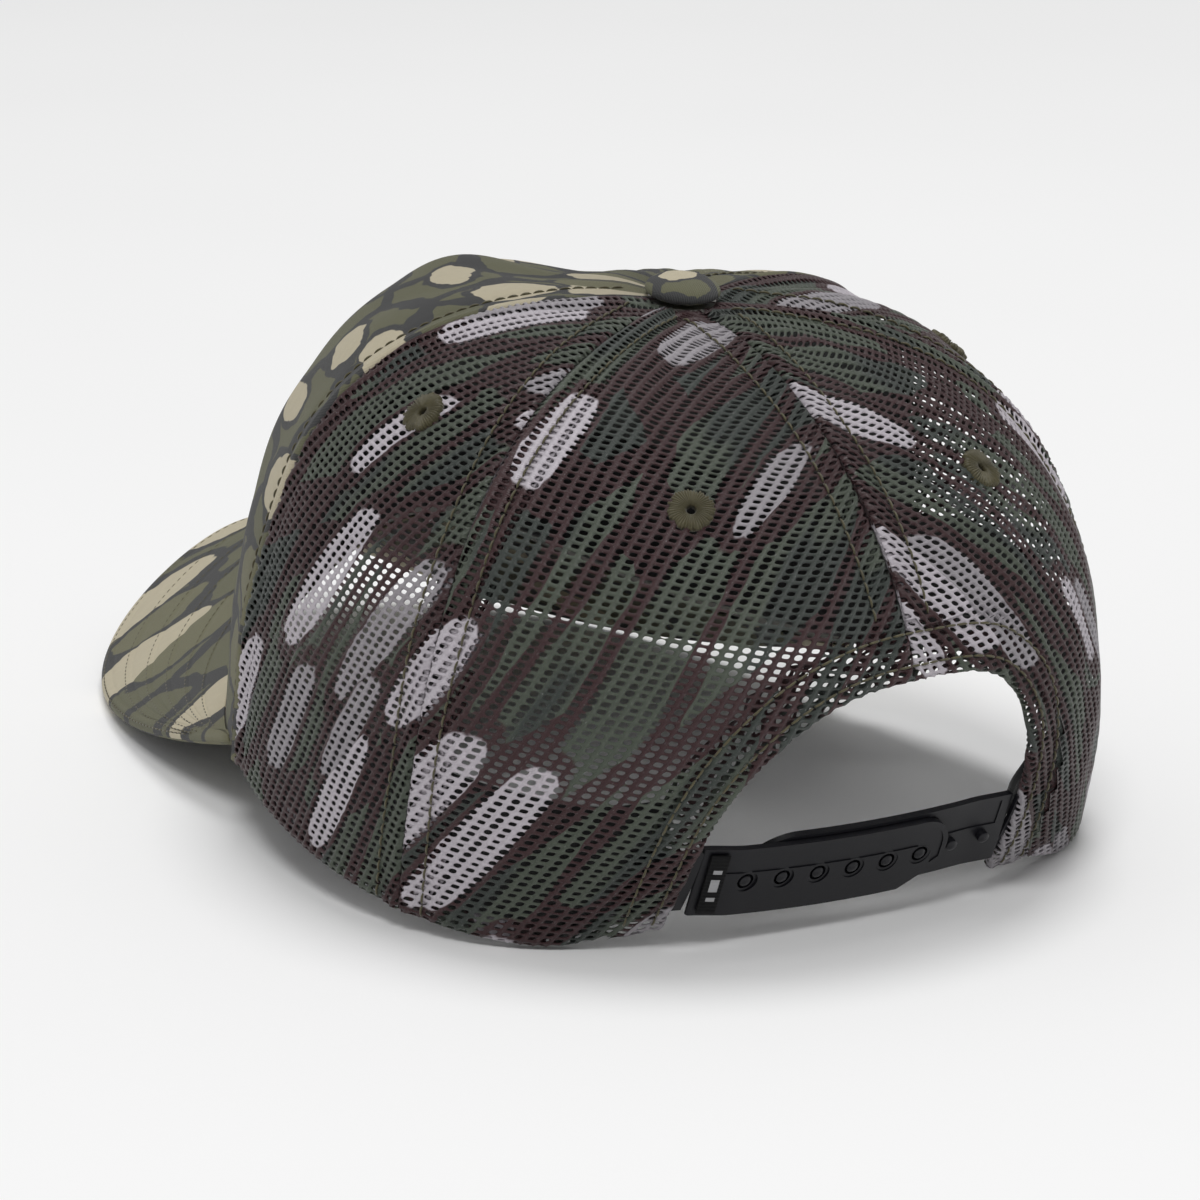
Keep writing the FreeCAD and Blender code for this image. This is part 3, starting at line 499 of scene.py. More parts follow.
def add_mesh(name, points, faces, cloth=None, in_row=False):
    """Object from points in mm, in the cap's frame or the row frame. cloth holds each point's place on its
    flat cloth, in mm."""
    mesh = bpy.data.meshes.new(name)
    points = np.asarray(points, float)
    placed = points / MM_PER_M if in_row else to_row(points)
    mesh.from_pydata(placed.tolist(), [], [list(map(int, face)) for face in faces])
    mesh.validate()
    if cloth is not None:
        flat = np.zeros((len(points), 3), np.float32)
        flat[:, :2] = cloth
        mesh.attributes.new("cloth", "FLOAT_VECTOR", "POINT").data.foreach_set("vector", flat.ravel())
    mesh.polygons.foreach_set("use_smooth", [True] * len(mesh.polygons))
    mesh.update()
    piece = bpy.data.objects.new(name, mesh)
    bpy.context.scene.collection.objects.link(piece)
    return piece


def wrap_piece(piece, body, material, node):
    """Gives a piece its material and lets it ride on a body in place of a CAD node."""
    piece.data.materials.append(material)
    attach(piece, body)
    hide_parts(node)


def grid_faces(columns, rows, first=0, flip=False):
    """Quads of a grid of (columns + 1) x (rows + 1) points, stored column by column."""
    i, j = np.meshgrid(np.arange(columns), np.arange(rows), indexing="ij")
    a = first + i * (rows + 1) + j
    quads = np.stack([a, a + rows + 1, a + rows + 2, a + 1], axis=-1).reshape(-1, 4)
    return quads[:, ::-1] if flip else quads


def closed_sheet(point, columns, rows):
    """Points, faces and (u, v) of a closed sheet from point(u, v, 0), its inside, to point(u, v, 1)."""
    u, v = np.meshgrid(np.linspace(0, 1, columns + 1), np.linspace(0, 1, rows + 1), indexing="ij")
    u, v = u.ravel(), v.ravel()
    inner, outer = point(u, v, 0), point(u, v, 1)
    count = len(u)
    faces = [grid_faces(columns, rows, 0, True), grid_faces(columns, rows, count)]
    index = np.arange(count).reshape(columns + 1, rows + 1)
    rims = [(index[:, 0], False), (index[:, -1], True), (index[0, :], True), (index[-1, :], False)]
    for rim, flip in rims:
        quads = np.stack([rim[:-1], rim[1:], rim[1:] + count, rim[:-1] + count], axis=-1)
        faces.append(quads[:, ::-1] if flip else quads)
    both = np.concatenate([np.stack([u, v], -1)] * 2)
    return np.concatenate([inner, outer]), np.concatenate(faces), both


def lathe(profile, centre, axis, segments, ripple):
    """Points and faces of a turned shape. profile holds (radius, height) pairs from one end to the other.
    ripple(segment, index) raises each point, and moves it outwards half as far."""
    across = np.cross(axis, [0.0, 0.0, 1.0] if abs(axis[2]) < 0.9 else [1.0, 0.0, 0.0])
    across = across / np.linalg.norm(across)
    third = np.cross(axis, across)
    points = []
    for k in range(segments):
        angle = 2 * math.pi * k / segments
        spoke = across * math.cos(angle) + third * math.sin(angle)
        for index, (radius, height) in enumerate(profile):
            grow = ripple(k, index)
            points.append(centre + spoke * (radius + grow * 0.5) + axis * (height + grow))
    size = len(profile)
    faces = []
    for k in range(segments):
        here, there = k * size, (k + 1) % segments * size
        faces += [(here + j, there + j, there + j + 1, here + j + 1) for j in range(size - 1)]
    return np.array(points), faces


def tube(path, radii, sides=6):
    """Points and faces of a closed round thread along a short path. radii holds its radius at each point."""
    path = np.asarray(path, float)
    tangent = np.gradient(path, axis=0)
    tangent /= np.linalg.norm(tangent, axis=-1, keepdims=True)
    up = np.array([0.0, 0.0, 1.0]) if abs(tangent[0][2]) < 0.8 else np.array([1.0, 0.0, 0.0])
    first = np.cross(tangent, up)
    first /= np.linalg.norm(first, axis=-1, keepdims=True)
    second = np.cross(tangent, first)
    angles = 2 * math.pi * np.arange(sides) / sides
    rings = (path[:, None] + radii[:, None, None] * (first[:, None] * np.cos(angles)[None, :, None]
                                                     + second[:, None] * np.sin(angles)[None, :, None]))
    points = rings.reshape(-1, 3)
    faces = []
    for k in range(len(path) - 1):
        for j in range(sides):
            a, b = k * sides + j, k * sides + (j + 1) % sides
            faces.append((a, b, b + sides, a + sides))
    last = (len(path) - 1) * sides
    faces += [tuple(range(sides))[::-1], tuple(last + j for j in range(sides))]
    return points, faces


def joined(parts):
    """One set of points and faces out of several."""
    points, faces, first = [], [], 0
    for part_points, part_faces in parts:
        points.append(part_points)
        faces += [tuple(index + first for index in face) for face in part_faces]
        first += len(part_points)
    return np.concatenate(points), faces


def stitches(path, normals, length, gap, radius, lift):
    """Row of separate stitches along a path. Each arches over the cloth and dives into it at both ends."""
    steps = np.linalg.norm(np.diff(path, axis=0), axis=-1)
    travel = np.concatenate([[0], np.cumsum(steps)])
    count = int(travel[-1] / (length + gap))
    pitch = travel[-1] / max(count, 1)
    rise = STITCH_BOW * radius + lift
    parts = []
    for k in range(count):
        ends = pitch * k + gap / 2, pitch * (k + 1) - gap / 2
        places = np.linspace(ends[0], ends[1], len(STITCH_BOW))
        line = np.stack([np.interp(places, travel, path[:, c]) for c in range(3)], axis=-1)
        normal = np.stack([np.interp(places, travel, normals[:, c]) for c in range(3)], axis=-1)
        parts.append(tube(line + normal * rise[:, None], STITCH_GIRTH * radius))
    return parts


# ---- Knitted mesh ----

# A cell's outline, in quarters of a hole's pitch across and halves of a row's pitch up.
CELL_LOOP = [(4, 1), (4, 2), (3, 2), (2, 2), (1, 2), (0, 2), (0, 1), (0, 0), (1, 0), (2, 0), (3, 0), (4, 0)]


def hole_loop(flat):
    """The points of a hole's edge about its middle."""
    angles = 2 * math.pi * np.arange(HOLE_CORNERS) / HOLE_CORNERS
    height = FLAT_HOLE_HEIGHT if flat else ROUND_HOLE_HEIGHT
    power = FLAT_HOLE_POWER if flat else ROUND_HOLE_POWER
    cosine, sine = np.cos(angles), np.sin(angles)
    x = np.copysign(np.abs(cosine) ** power, cosine) * HOLE_WIDTH / 2
    y = np.copysign(np.abs(sine) ** power, sine) * height / 2
    return np.stack([x, y], axis=-1)


def lattice(columns, rows):
    """The flat mesh over ranges of column and row numbers. Gives for every cell its middle, the grid numbers
    of its outline points, by which neighbours share them, and the places of the points round its hole."""
    i, j = np.meshgrid(np.arange(*columns), np.arange(*rows), indexing="ij")
    i, j = i.ravel(), j.ravel()
    middles = np.stack([(i + 0.5) * HOLE_PITCH, (j + 0.5) * ROW_PITCH], axis=-1)
    loop = np.array(CELL_LOOP)
    outline = np.stack([4 * i[:, None] + loop[None, :, 0], 2 * j[:, None] + loop[None, :, 1]], axis=-1)
    shapes = np.stack([hole_loop(False), hole_loop(True)])[i % 2]
    size = 1 + HOLE_SIZE_SPREAD * dice.standard_normal((len(i), 1, 1)).clip(-2, 2)
    drift = HOLE_DRIFT * dice.standard_normal((len(i), 1, 2)).clip(-2, 2)
    holes = middles[:, None, :] + shapes * size + drift
    return middles, outline, holes


def lattice_points(numbers):
    """Flat places of outline points from their grid numbers."""
    return numbers * np.array([HOLE_PITCH / 4, ROW_PITCH / 2])


def sheared(flat):
    """Distance of flat places from their panel's middle line."""
    return flat[:, 0] + GRAIN_SHEAR * (flat[:, 1] - SHEAR_CENTRE)


def knit(panel, keep, height_of):
    """Mesh over a panel. keep(panel, middles) picks cells, and height_of(panel, flat, height) places points.
    Gives the points, the faces and each point's place on the cloth."""
    columns = [int(edge / HOLE_PITCH) for edge in CLOTH_ACROSS]
    rows = [int(edge / ROW_PITCH) for edge in CLOTH_UP]
    middles, outline, holes = lattice(columns, rows)
    near = np.abs(sheared(middles)) < PANEL_REACH
    middles, outline, holes = middles[near], outline[near], holes[near]
    kept = keep(panel, middles)
    outline, holes = outline[kept], holes[kept]

    numbers, shared = np.unique(outline.reshape(-1, 2), axis=0, return_inverse=True)
    shared = shared.reshape(-1, HOLE_CORNERS)
    grid_flat = lattice_points(numbers)
    hole_flat = holes.reshape(-1, 2)
    on_wale = numbers[:, 0] % 4 == 0
    ridge = np.where(on_wale, WALE_HALF, COURSE_HALF)
    rim = np.full(len(hole_flat), RIM_HALF)
    flat = np.concatenate([grid_flat, hole_flat, hole_flat, grid_flat])
    height = np.concatenate([ridge, rim, -rim, -ridge])
    points = height_of(panel, flat, height)
    quads = yarn_faces(shared, len(grid_flat))
    if panel["side"] < 0:
        quads = quads[:, ::-1]
    corners = points[quads]
    diagonals = corners[:, 2] - corners[:, 0], corners[:, 3] - corners[:, 1]
    area = np.linalg.norm(np.cross(*diagonals), axis=-1)
    return points, quads[area > SMALLEST_FACE], flat + panel["print_shift"]


def yarn_faces(shared, first_rim):
    """Quads of the yarn round every hole: its upper slope, the hole's wall and its lower slope. shared holds
    the upper outline points of each cell, and first_rim is the number of the first point round a hole."""
    cells = len(shared)
    rims = first_rim + np.arange(cells * HOLE_CORNERS).reshape(cells, HOLE_CORNERS)
    low_rims = rims + cells * HOLE_CORNERS
    low_shared = shared + first_rim + 2 * cells * HOLE_CORNERS
    rings = [shared, rims, low_rims, low_shared]
    quads = []
    for k in range(HOLE_CORNERS):
        n = (k + 1) % HOLE_CORNERS
        for outer, inner in zip(rings, rings[1:]):
            quads.append(np.stack([outer[:, k], outer[:, n], inner[:, n], inner[:, k]], axis=-1))
    return np.concatenate(quads)


PANELS = {
    "side_mesh_left": dict(side=1, first=FRONT_SEAM, last=REAR_SEAM, print_shift=(0, 0)),
    "side_mesh_right": dict(side=-1, first=FRONT_SEAM, last=REAR_SEAM, print_shift=(340, 90)),
    "rear_mesh_left": dict(side=1, first=REAR_SEAM, last=BACK, print_shift=(150, 30)),
    "rear_mesh_right": dict(side=-1, first=REAR_SEAM, last=BACK, print_shift=(520, 200)),
}


def panel_place(panel, flat):
    """Azimuth and climb of places on a panel's flat mesh. The azimuth is held inside the panel's seams; the
    loose azimuth, as if on the left side, is not."""
    middle = (panel["first"] + panel["last"]) / 2
    climb = flat[:, 1]
    spine = np.full(len(flat), middle * panel["side"])
    radius = np.maximum(ring_radius(spine, rise_at_climb(spine, climb)), 0.5)
    loose = middle + np.degrees(sheared(flat) / radius)
    azimuth = np.clip(loose, panel["first"], panel["last"])
    return azimuth * panel["side"], loose, climb


def rim_travel(azimuth, climb):
    """Distance up from the crown's lower edge."""
    step, most_per_height = 1.0, 1.2
    rim = rim_height(azimuth)
    rim_rise = rise_at_height(azimuth, rim)
    slope = crown_point(azimuth, rim_rise + step) - crown_point(azimuth, rim_rise)
    per_height = np.linalg.norm(slope, axis=-1) / np.maximum(slope[..., 2], 1e-6)
    return climb - rim * np.minimum(per_height, most_per_height)


def in_eyelet(panel, azimuth, rise, reach):
    middle = panel["side"] * (panel["first"] + panel["last"]) / 2
    centre = crown_point(np.array([middle]), np.array([EYELET_RISE]))
    return np.linalg.norm(crown_point(azimuth, rise) - centre, axis=-1) < reach


def between_seams(panel, azimuth, loose, rise):
    """Cells whose middle lies between the panel's seams or at most half a hole's pitch outside them."""
    slack = np.degrees(0.5 * HOLE_PITCH / np.maximum(ring_radius(azimuth, rise), 1))
    return (loose > panel["first"] - slack) & (loose < panel["last"] + slack)


def keep_on_crown(panel, middles):
    """Cells of the panel proper: between its seams, above the turned rim, outside the hem and the eyelet."""
    azimuth, loose, climb = panel_place(panel, middles)
    rise = rise_at_climb(azimuth, climb)
    point = crown_point(azimuth, rise)
    kept = between_seams(panel, azimuth, loose, rise)
    kept &= (rim_travel(azimuth, climb) > -RIM_TURNED_WIDTH) & (axis_distance(point) > HUB_RADIUS)
    kept &= climb < meridian_length(azimuth)
    kept &= ~in_eyelet(panel, azimuth, rise, EYELET_RADIUS - EYELET_GRIP)
    _, _, from_arch = nearest_on_arch(point[:, 0], np.where(climb < 0, climb, point[:, 2]))
    return kept & ((from_arch > HEM_WIDTH) | (point[:, 1] < 0))


def keep_in_hem(panel, middles):
    """Cells of the doubled hem: from the hem's stitches across the fold to the turned-in width."""
    azimuth, loose, climb = panel_place(panel, middles)
    rise = rise_at_climb(azimuth, climb)
    point = crown_point(azimuth, rise)
    _, _, from_arch = nearest_on_arch(point[:, 0], np.where(climb < 0, climb, point[:, 2]))
    kept = (from_arch <= HEM_WIDTH) & (from_arch > -TURNED_WIDTH) & (point[:, 1] > 0)
    kept &= between_seams(panel, azimuth, loose, rise)
    return kept & (rim_travel(azimuth, climb) > -0.5)


def on_crown(panel, flat, height):
    """Places a panel's points: the lower edge is turned in along the rim."""
    azimuth, _, climb = panel_place(panel, flat)
    travel = rim_travel(azimuth, climb)
    from_edge, offset = turned_edge(travel, height)
    rise = rise_at_climb(azimuth, np.maximum(climb - travel + from_edge, 0))
    return layer_point(azimuth, rise, offset - PANEL_THICKNESS / 2)


def on_hem(panel, flat, height):
    """Places the hem's points: the mesh is turned in along the arch's edge."""
    azimuth, _, climb = panel_place(panel, flat)
    rim = rim_height(azimuth)
    point = crown_point(azimuth, rise_at_climb(azimuth, np.maximum(climb, 0)))
    z = np.maximum(np.where(climb < 0, climb, point[:, 2]), rim)
    foot, normal, from_arch = nearest_on_arch(point[:, 0], z)
    from_edge, offset = turned_edge(from_arch, height)
    place = foot + normal * from_edge[:, None]
    hem_azimuth, rise = rear_place(place[:, 0], np.maximum(place[:, 1], rim_height(azimuth)))
    puff = HEM_PUFF * smooth_step((HEM_WIDTH - from_edge) / HEM_PUFF_WIDTH)
    pull = sum(HEM_PULL * bell(from_edge - row, HEM_PULL_WIDTH) for row in HEM_STITCHES)
    swell = np.where(from_arch > 0, puff - pull, 0)
    return layer_point(hem_azimuth, rise, offset - PANEL_THICKNESS / 2 + swell)


def keep_beside_seams(panel, middles):
    """Cells of the seam allowances, from the rim almost to the button."""
    azimuth, _, climb = panel_place(panel, middles)
    rise = rise_at_climb(azimuth, climb)
    kept = keep_on_crown(panel, middles) & (seam_distance(azimuth, rise) < SEAM_ALLOWANCE)
    kept &= rim_travel(azimuth, climb) > 1.0
    return kept & (climb < meridian_length(azimuth) - 2 * SEAM_ALLOWANCE)


def on_allowance(panel, flat, height):
    """Places the turned-in mesh under the panel, a little out of step with its holes."""
    azimuth, _, climb = panel_place(panel, flat + (HOLE_PITCH / 2, ROW_PITCH / 2))
    rise = rise_at_climb(azimuth, climb)
    return layer_point(azimuth, rise, height - PANEL_THICKNESS / 2 - ALLOWANCE_DROP)


def mesh_piece(name, layers, material, node):
    """One piece out of several layers of mesh, each given as the three arguments of knit()."""
    points, faces, cloths, first = [], [], [], 0
    for layer in layers:
        layer_points, layer_faces, layer_cloth = knit(*layer)
        points.append(layer_points)
        faces.append(layer_faces + first)
        cloths.append(layer_cloth)
        first += len(layer_points)
    piece = add_mesh(name, np.concatenate(points), np.concatenate(faces), np.concatenate(cloths))
    wrap_piece(piece, "crown", material, node)


def mesh_panel(name, material):
    layers = [(PANELS[name], keep_on_crown, on_crown), (PANELS[name], keep_beside_seams, on_allowance)]
    mesh_piece(name.replace("mesh", "panel_mesh"), layers, material, name)


def arch_hem(material):
    layers = [(PANELS[name], keep_in_hem, on_hem) for name in ("rear_mesh_left", "rear_mesh_right")]
    mesh_piece("arch_hem_mesh", layers, material, "arch_hem")


# ---- Woven front, lining, tapes and sweatband ----

def front_sheet(name, inner, outer, columns, rows, stop=HUB_RADIUS, margin=0.0):
    """Closed sheet over the front of the crown, from the rim to a distance from the apex."""
    def point(u, v, side):
        spine = FRONT_SEAM * (2 * u - 1)
        rise = rise_along(spine, rim_height(spine), stop, v)
        right_edge = azimuth_beside(-FRONT_SEAM, margin, rise)
        left_edge = azimuth_beside(FRONT_SEAM, -margin, rise)
        azimuth = right_edge * (1 - u) + left_edge * u
        return layer_point(azimuth, rise, np.full(len(u), outer if side else inner))

    points, faces, uv = closed_sheet(point, columns, rows)
    cloth_radius, cloth_length = 95, 165
    across = np.radians(FRONT_SEAM * (2 * uv[:, 0] - 1)) * cloth_radius
    return add_mesh(name, points, faces, np.stack([across, uv[:, 1] * cloth_length], axis=-1))


def seam_tape(name, seam, low, material):
    """Tape over the inside of a seam, from a height almost to the button."""
    outer = -PANEL_THICKNESS - ALLOWANCE_DROP - 0.1

    def point(u, v, side):
        along = np.full(len(u), float(seam))
        rise = rise_along(along, low, TAPE_STOP, v)
        azimuth = azimuth_beside(along, TAPE_HALF_WIDTH * (2 * u - 1), rise)
        return layer_point(azimuth, rise, np.full(len(u), outer if side else outer - TAPE_THICKNESS))

    points, faces, uv = closed_sheet(point, columns=4, rows=70)
    tape_length = 160
    piece = add_mesh(name + "_cloth", points, faces, uv * (2 * TAPE_HALF_WIDTH, tape_length))
    wrap_piece(piece, "crown", material, name)


def seam_path(seam, distance, low):
    """Path and normals of a stitch row beside a seam."""
    share = np.linspace(0, 1, 240)
    along = np.full(len(share), float(seam))
    rise = rise_along(along, low, STITCH_STOP, share)
    azimuth = azimuth_beside(along, distance, rise)
    return layer_point(azimuth, rise, np.zeros(len(share))), crown_normal(azimuth, rise)


def crown_stitching(material):
    """One row in front of each front seam, two at each rear seam and two above the arch."""
    rows = [(side * FRONT_SEAM, -side * SEAM_TO_STITCH, rim_at(side * FRONT_SEAM) + 1) for side in (1, -1)]
    for seam in (REAR_SEAM, -REAR_SEAM):
        rows += [(seam, side * SEAM_TO_STITCH, rim_at(seam) + 1) for side in (1, -1)]
    rows += [(BACK, side * SEAM_TO_STITCH, ABOVE_ARCH) for side in (1, -1)]
    parts = []
    for seam, distance, low in rows:
        path, normals = seam_path(seam, distance, low)
        parts += stitches(path, normals, **CROWN_STITCH)
    points, faces = joined(parts)
    wrap_piece(add_mesh("crown_thread", points, faces), "crown", material, "crown_stitching")


def arch_stitching(material):
    """Two rows of stitches that follow the arch's edge, from foot to foot."""
    stand_off = 0.12
    parts = []
    feet = np.flatnonzero(ARCH_POINTS[:, 1] > ARCH_CORNER_LIFT)
    for row in HEM_STITCHES:
        line = ARCH_POINTS[feet] + ARCH_NORMALS[feet] * row
        line = line[line[:, 1] > ARCH_CORNER_LIFT + 0.5]
        azimuth, rise = rear_place(line[:, 0], line[:, 1])
        path = layer_point(azimuth, rise, np.full(len(line), stand_off))
        parts += stitches(path, crown_normal(azimuth, rise), **CROWN_STITCH)
    points, faces = joined(parts)
    wrap_piece(add_mesh("arch_thread", points, faces), "crown", material, "arch_stitching")


def band_end(x):
    """Angle from the middle of the back at which the sweatband reaches x."""
    return np.degrees(np.arcsin(x / SWEATBAND_RADIUS))


def sweatband(material):
    """Soft band inside the rim. Its right end shows past the hem, above the strap."""
    left_x, right_x = SWEATBAND_ENDS

    def point(u, v, side):
        scoop = SWEATBAND_SCOOP * ramp(v, *SCOOP_START) * (1 - ramp(v, *SCOOP_END))
        left_end = BACK - band_end(left_x)
        right_end = band_end(right_x - scoop) - BACK
        azimuth = right_end + (left_end - right_end) * u
        low = rim_height(azimuth) + SWEATBAND_RAISE
        rise = rise_at_height(azimuth, low + SWEATBAND_HEIGHT * v)
        round_edge = 0.5 * (np.abs(v - 0.5) * 2) ** 8
        depth = SWEATBAND_DEPTH + (round_edge if side else SWEATBAND_THICKNESS - round_edge)
        wave = 0.25 * np.sin(np.radians(azimuth * 7)) * v
        return layer_point(azimuth, rise, -depth - wave)

    points, faces, uv = closed_sheet(point, columns=220, rows=24)
    band_length = 520
    piece = add_mesh("sweatband_cloth", points, faces, uv * (band_length, SWEATBAND_HEIGHT))
    wrap_piece(piece, "crown", material, "sweatband")


# ---- Eyelets and button ----

def eyelet(name, azimuth, material):
    """Embroidered ring: radial threads over a rounded edge."""
    place = np.array([float(azimuth)])
    rise = np.array([EYELET_RISE])
    centre = layer_point(place, rise, np.array([-PANEL_THICKNESS / 2]))[0]
    axis = crown_normal(place, rise)[0]
    half = PANEL_THICKNESS / 2 + EYELET_STAND
    middle = (EYELET_RADIUS + EYELET_HOLE) / 2
    reach = (EYELET_RADIUS - EYELET_HOLE) / 2
    steps = 18
    angles = [math.pi - 2 * math.pi * k / steps for k in range(steps + 1)]
    profile = [(middle + reach * fuller(math.cos(angle)), half * fuller(math.sin(angle))) for angle in angles]
    length = dice.uniform(-0.5, 0.5, EYELET_THREADS)
    height = dice.uniform(-0.12, 0.12, EYELET_THREADS)

    def ripple(segment, index):
        thread, part = divmod(segment, len(THREAD_SHAPE))
        outward = max(math.cos(angles[index]), 0.0)
        return THREAD_SHAPE[part] + height[thread] + length[thread] * outward ** 3

    points, faces = lathe(profile, centre, axis, EYELET_THREADS * len(THREAD_SHAPE), ripple)
    wrap_piece(add_mesh(name + "_thread", points, faces), "crown", material, name)


def fuller(value):
    """A sine or cosine pushed outwards, so that a round profile becomes squarer."""
    return math.copysign(abs(value) ** 0.75, value)


def button(material):
    """Cloth-covered button: a soft dome whose sides bulge over its foot, with eight gathers below."""
    radius, foot = BUTTON_RADIUS + 0.3, CROWN_HEIGHT - 0.9
    waist, dome, underside, centre_gap = 1.7, BUTTON_HEIGHT - 1.2, 0.7, 0.001
    gather_height, gathers, gathered_points = 0.12, 8, 9
    segments = 96
    profile = []
    for angle in np.radians(np.linspace(-62, 90, 26)):
        bulge = np.abs(np.cos(angle)) ** 0.8
        height = dome * math.sin(angle) * (1 if angle > 0 else underside)
        profile.append((radius * bulge + centre_gap, foot + waist + height))
    profile = [(centre_gap, profile[0][1])] + profile

    def ripple(segment, index):
        gather = max(0.0, 1 - index / gathered_points)
        return gather_height * gather * math.cos(segment * 2 * math.pi / gathers)

    centre = np.array([0.0, APEX_SHIFT, 0.0])
    points, faces = lathe(profile, centre, np.array([0.0, 0.0, 1.0]), segments, ripple)
    piece = add_mesh("button_cloth", points, faces, points[:, :2])
    wrap_piece(piece, "crown", material, "button_cover")


# ---- Label ----

def label(material):
    """Woven tab folded over on itself: two soft layers that meet in a round fold at the free end."""
    joints = frame["record"]["behaviour"]["joints"]
    hinge = next(joint for joint in joints if joint["name"] == "label_flip")
    root = np.array(hinge["pos_m"]) * MM_PER_M
    down = np.array(hinge["axis"])
    outward = np.cross([1.0, 0.0, 0.0], down)
    lean = math.radians(LABEL_LEAN)
    along = np.array([-math.cos(lean), 0.0, 0.0]) + outward * math.sin(lean)
    normal = np.array([math.sin(lean), 0.0, 0.0]) + outward * math.cos(lean)

    def point(u, v, side):
        swell = LABEL_THICKNESS / 2 * (1 - 0.35 * bell(u, 0.25))
        fold = np.sqrt(np.clip(1 - np.maximum((u - LABEL_FOLD) / (1 - LABEL_FOLD), 0) ** 2, 0, 1))
        rounded = np.sqrt(np.clip(1 - np.abs(2 * v - 1) ** 24, 0, 1))
        ribs = 0.03 * np.cos(v * LABEL_HEIGHT * math.pi / LABEL_RIB)
        reach = (swell + ribs) * fold * rounded * (1 if side else -1)
        place = root + along * (u * LABEL_WIDTH)[:, None] - down * ((v - 0.5) * LABEL_HEIGHT)[:, None]
        return place + normal * reach[:, None]

    points, faces, uv = closed_sheet(point, columns=24, rows=150)
    piece = add_mesh("label_cloth", points, faces, uv * (LABEL_WIDTH, LABEL_HEIGHT), in_row=True)
    wrap_piece(piece, "loop_label", material, "loop_label")


# ---- Brim ----

def stitch_line(row):
    """Share of the way from the crown to the outer edge at which a stitch row runs."""
    return FIRST_BRIM_ROW - row * BRIM_ROW_SPACING


def brim_cover(name, node, direction, material):
    """Cloth over the board, from the crown to the middle of the rounded outer edge. direction is 1 on top."""
    def point(u, v, side):
        s = BRIM_REACH * (2 * u - 1)
        t = np.minimum(v / BRIM_EDGE_START, 1)
        turn = np.clip((v - BRIM_EDGE_START) / (1 - BRIM_EDGE_START), 0, 1) * math.pi / 2
        rows = [(t - stitch_line(row)) * BRIM_LENGTH for row in range(BRIM_STITCH_ROWS)]
        press = BRIM_STITCH_PRESS * sum(bell(distance, 1.0) for distance in rows)
        press = press * smooth_step((BRIM_STITCH_REACH - np.abs(s)) / BRIM_PRESS_FADE)
        thickness = BRIM_HALF_THICKNESS - (0.0 if side else BRIM_COVER_THICKNESS) - press
        inset = BRIM_HALF_THICKNESS - thickness * np.sin(turn)
        return brim_point(s, t, direction * thickness * np.cos(turn), inset)

    points, faces, uv = closed_sheet(point, columns=200, rows=110)
    if direction < 0:
        faces = faces[:, ::-1]
    x, y = brim_plan(BRIM_REACH * (2 * uv[:, 0] - 1), uv[:, 1])
    print_shift = 400 * direction
    piece = add_mesh(name, points, faces, np.stack([x + print_shift, y], axis=-1))
    wrap_piece(piece, "crown", material, node)


def brim_stitching(material):
    sink = 0.12
    s = np.linspace(-BRIM_STITCH_REACH, BRIM_STITCH_REACH, 500)
    parts = []
    for row in range(BRIM_STITCH_ROWS):
        t = np.full(len(s), stitch_line(row))
        path = brim_point(s, t, np.full(len(s), BRIM_HALF_THICKNESS - sink))
        above = brim_point(s, t, np.full(len(s), BRIM_HALF_THICKNESS + 1.0))
        normals = above - brim_point(s, t, np.full(len(s), BRIM_HALF_THICKNESS))
        parts += stitches(path, normals, **BRIM_STITCH)
    points, faces = joined(parts)
    wrap_piece(add_mesh("brim_thread", points, faces), "crown", material, "brim_stitching")


# ---- Materials ----

def linear(red, green, blue):
    """Display colour, 0 to 255, as a linear colour."""
    return tuple((channel / 255) ** 2.2 for channel in (red, green, blue)) + (1.0,)


GREY_GREEN = linear(76, 83, 72)
DARK_GREY_GREEN = linear(56, 62, 58)
MAUVE_GREY = linear(196, 189, 196)
DARK_MAUVE_GREY = linear(158, 153, 158)
MAROON = linear(60, 36, 38)
YARN_GLINT = linear(190, 190, 190)
OLIVE = linear(86, 86, 60)
LIGHT_OLIVE = linear(100, 98, 70)
BEIGE = linear(190, 180, 154)
SLATE = linear(30, 32, 38)
TWILL_SHINE = linear(225, 222, 210)
OLIVE_THREAD = linear(94, 88, 57)
DARK_OLIVE_THREAD = linear(44, 40, 25)
BLACK = linear(8, 8, 9)
SOFT_BLACK = linear(24, 24, 27)
PLASTIC_BLACK = linear(24, 24, 28)
TAPE_BLACK = linear(14, 14, 15)
SOFT_TAPE_BLACK = linear(34, 34, 36)
DARK_LINING_GREY = linear(92, 94, 92)
LINING_GREY = linear(128, 130, 128)
BAR_GREY = linear(170, 170, 172)
BOARD_WHITE = linear(205, 203, 196)
STEEL = linear(190, 188, 182)
FLOOR_WHITE = linear(247, 247, 247)
BRIGHT_FLOOR_WHITE = linear(252, 252, 252)
TWILL_RIBS = 0.9             # stripes per unit of the wave texture
THREAD_TWIST = 2500.0        # noise per metre
LABEL_BARS = ((4.0, 0.5), (7.5, 1.6), (11.0, 0.5))           # middle and half height of each bar, in mm
LABEL_BAR_HALF_WIDTH = 0.9


def new_material(name):
    material = bpy.data.materials.new(name)
    material.use_nodes = True
    return material, material.node_tree, material.node_tree.nodes["Principled BSDF"]


def join(tree, value, socket):
    """Links an output to a socket, or sets the socket's value."""
    if isinstance(value, bpy.types.NodeSocket):
        tree.links.new(value, socket)
    else:
        socket.default_value = value


def calculate(tree, operation, first, second=0.0):
    made = tree.nodes.new("ShaderNodeMath")
    made.operation = operation
    join(tree, first, made.inputs[0])
    join(tree, second, made.inputs[1])
    return made.outputs[0]


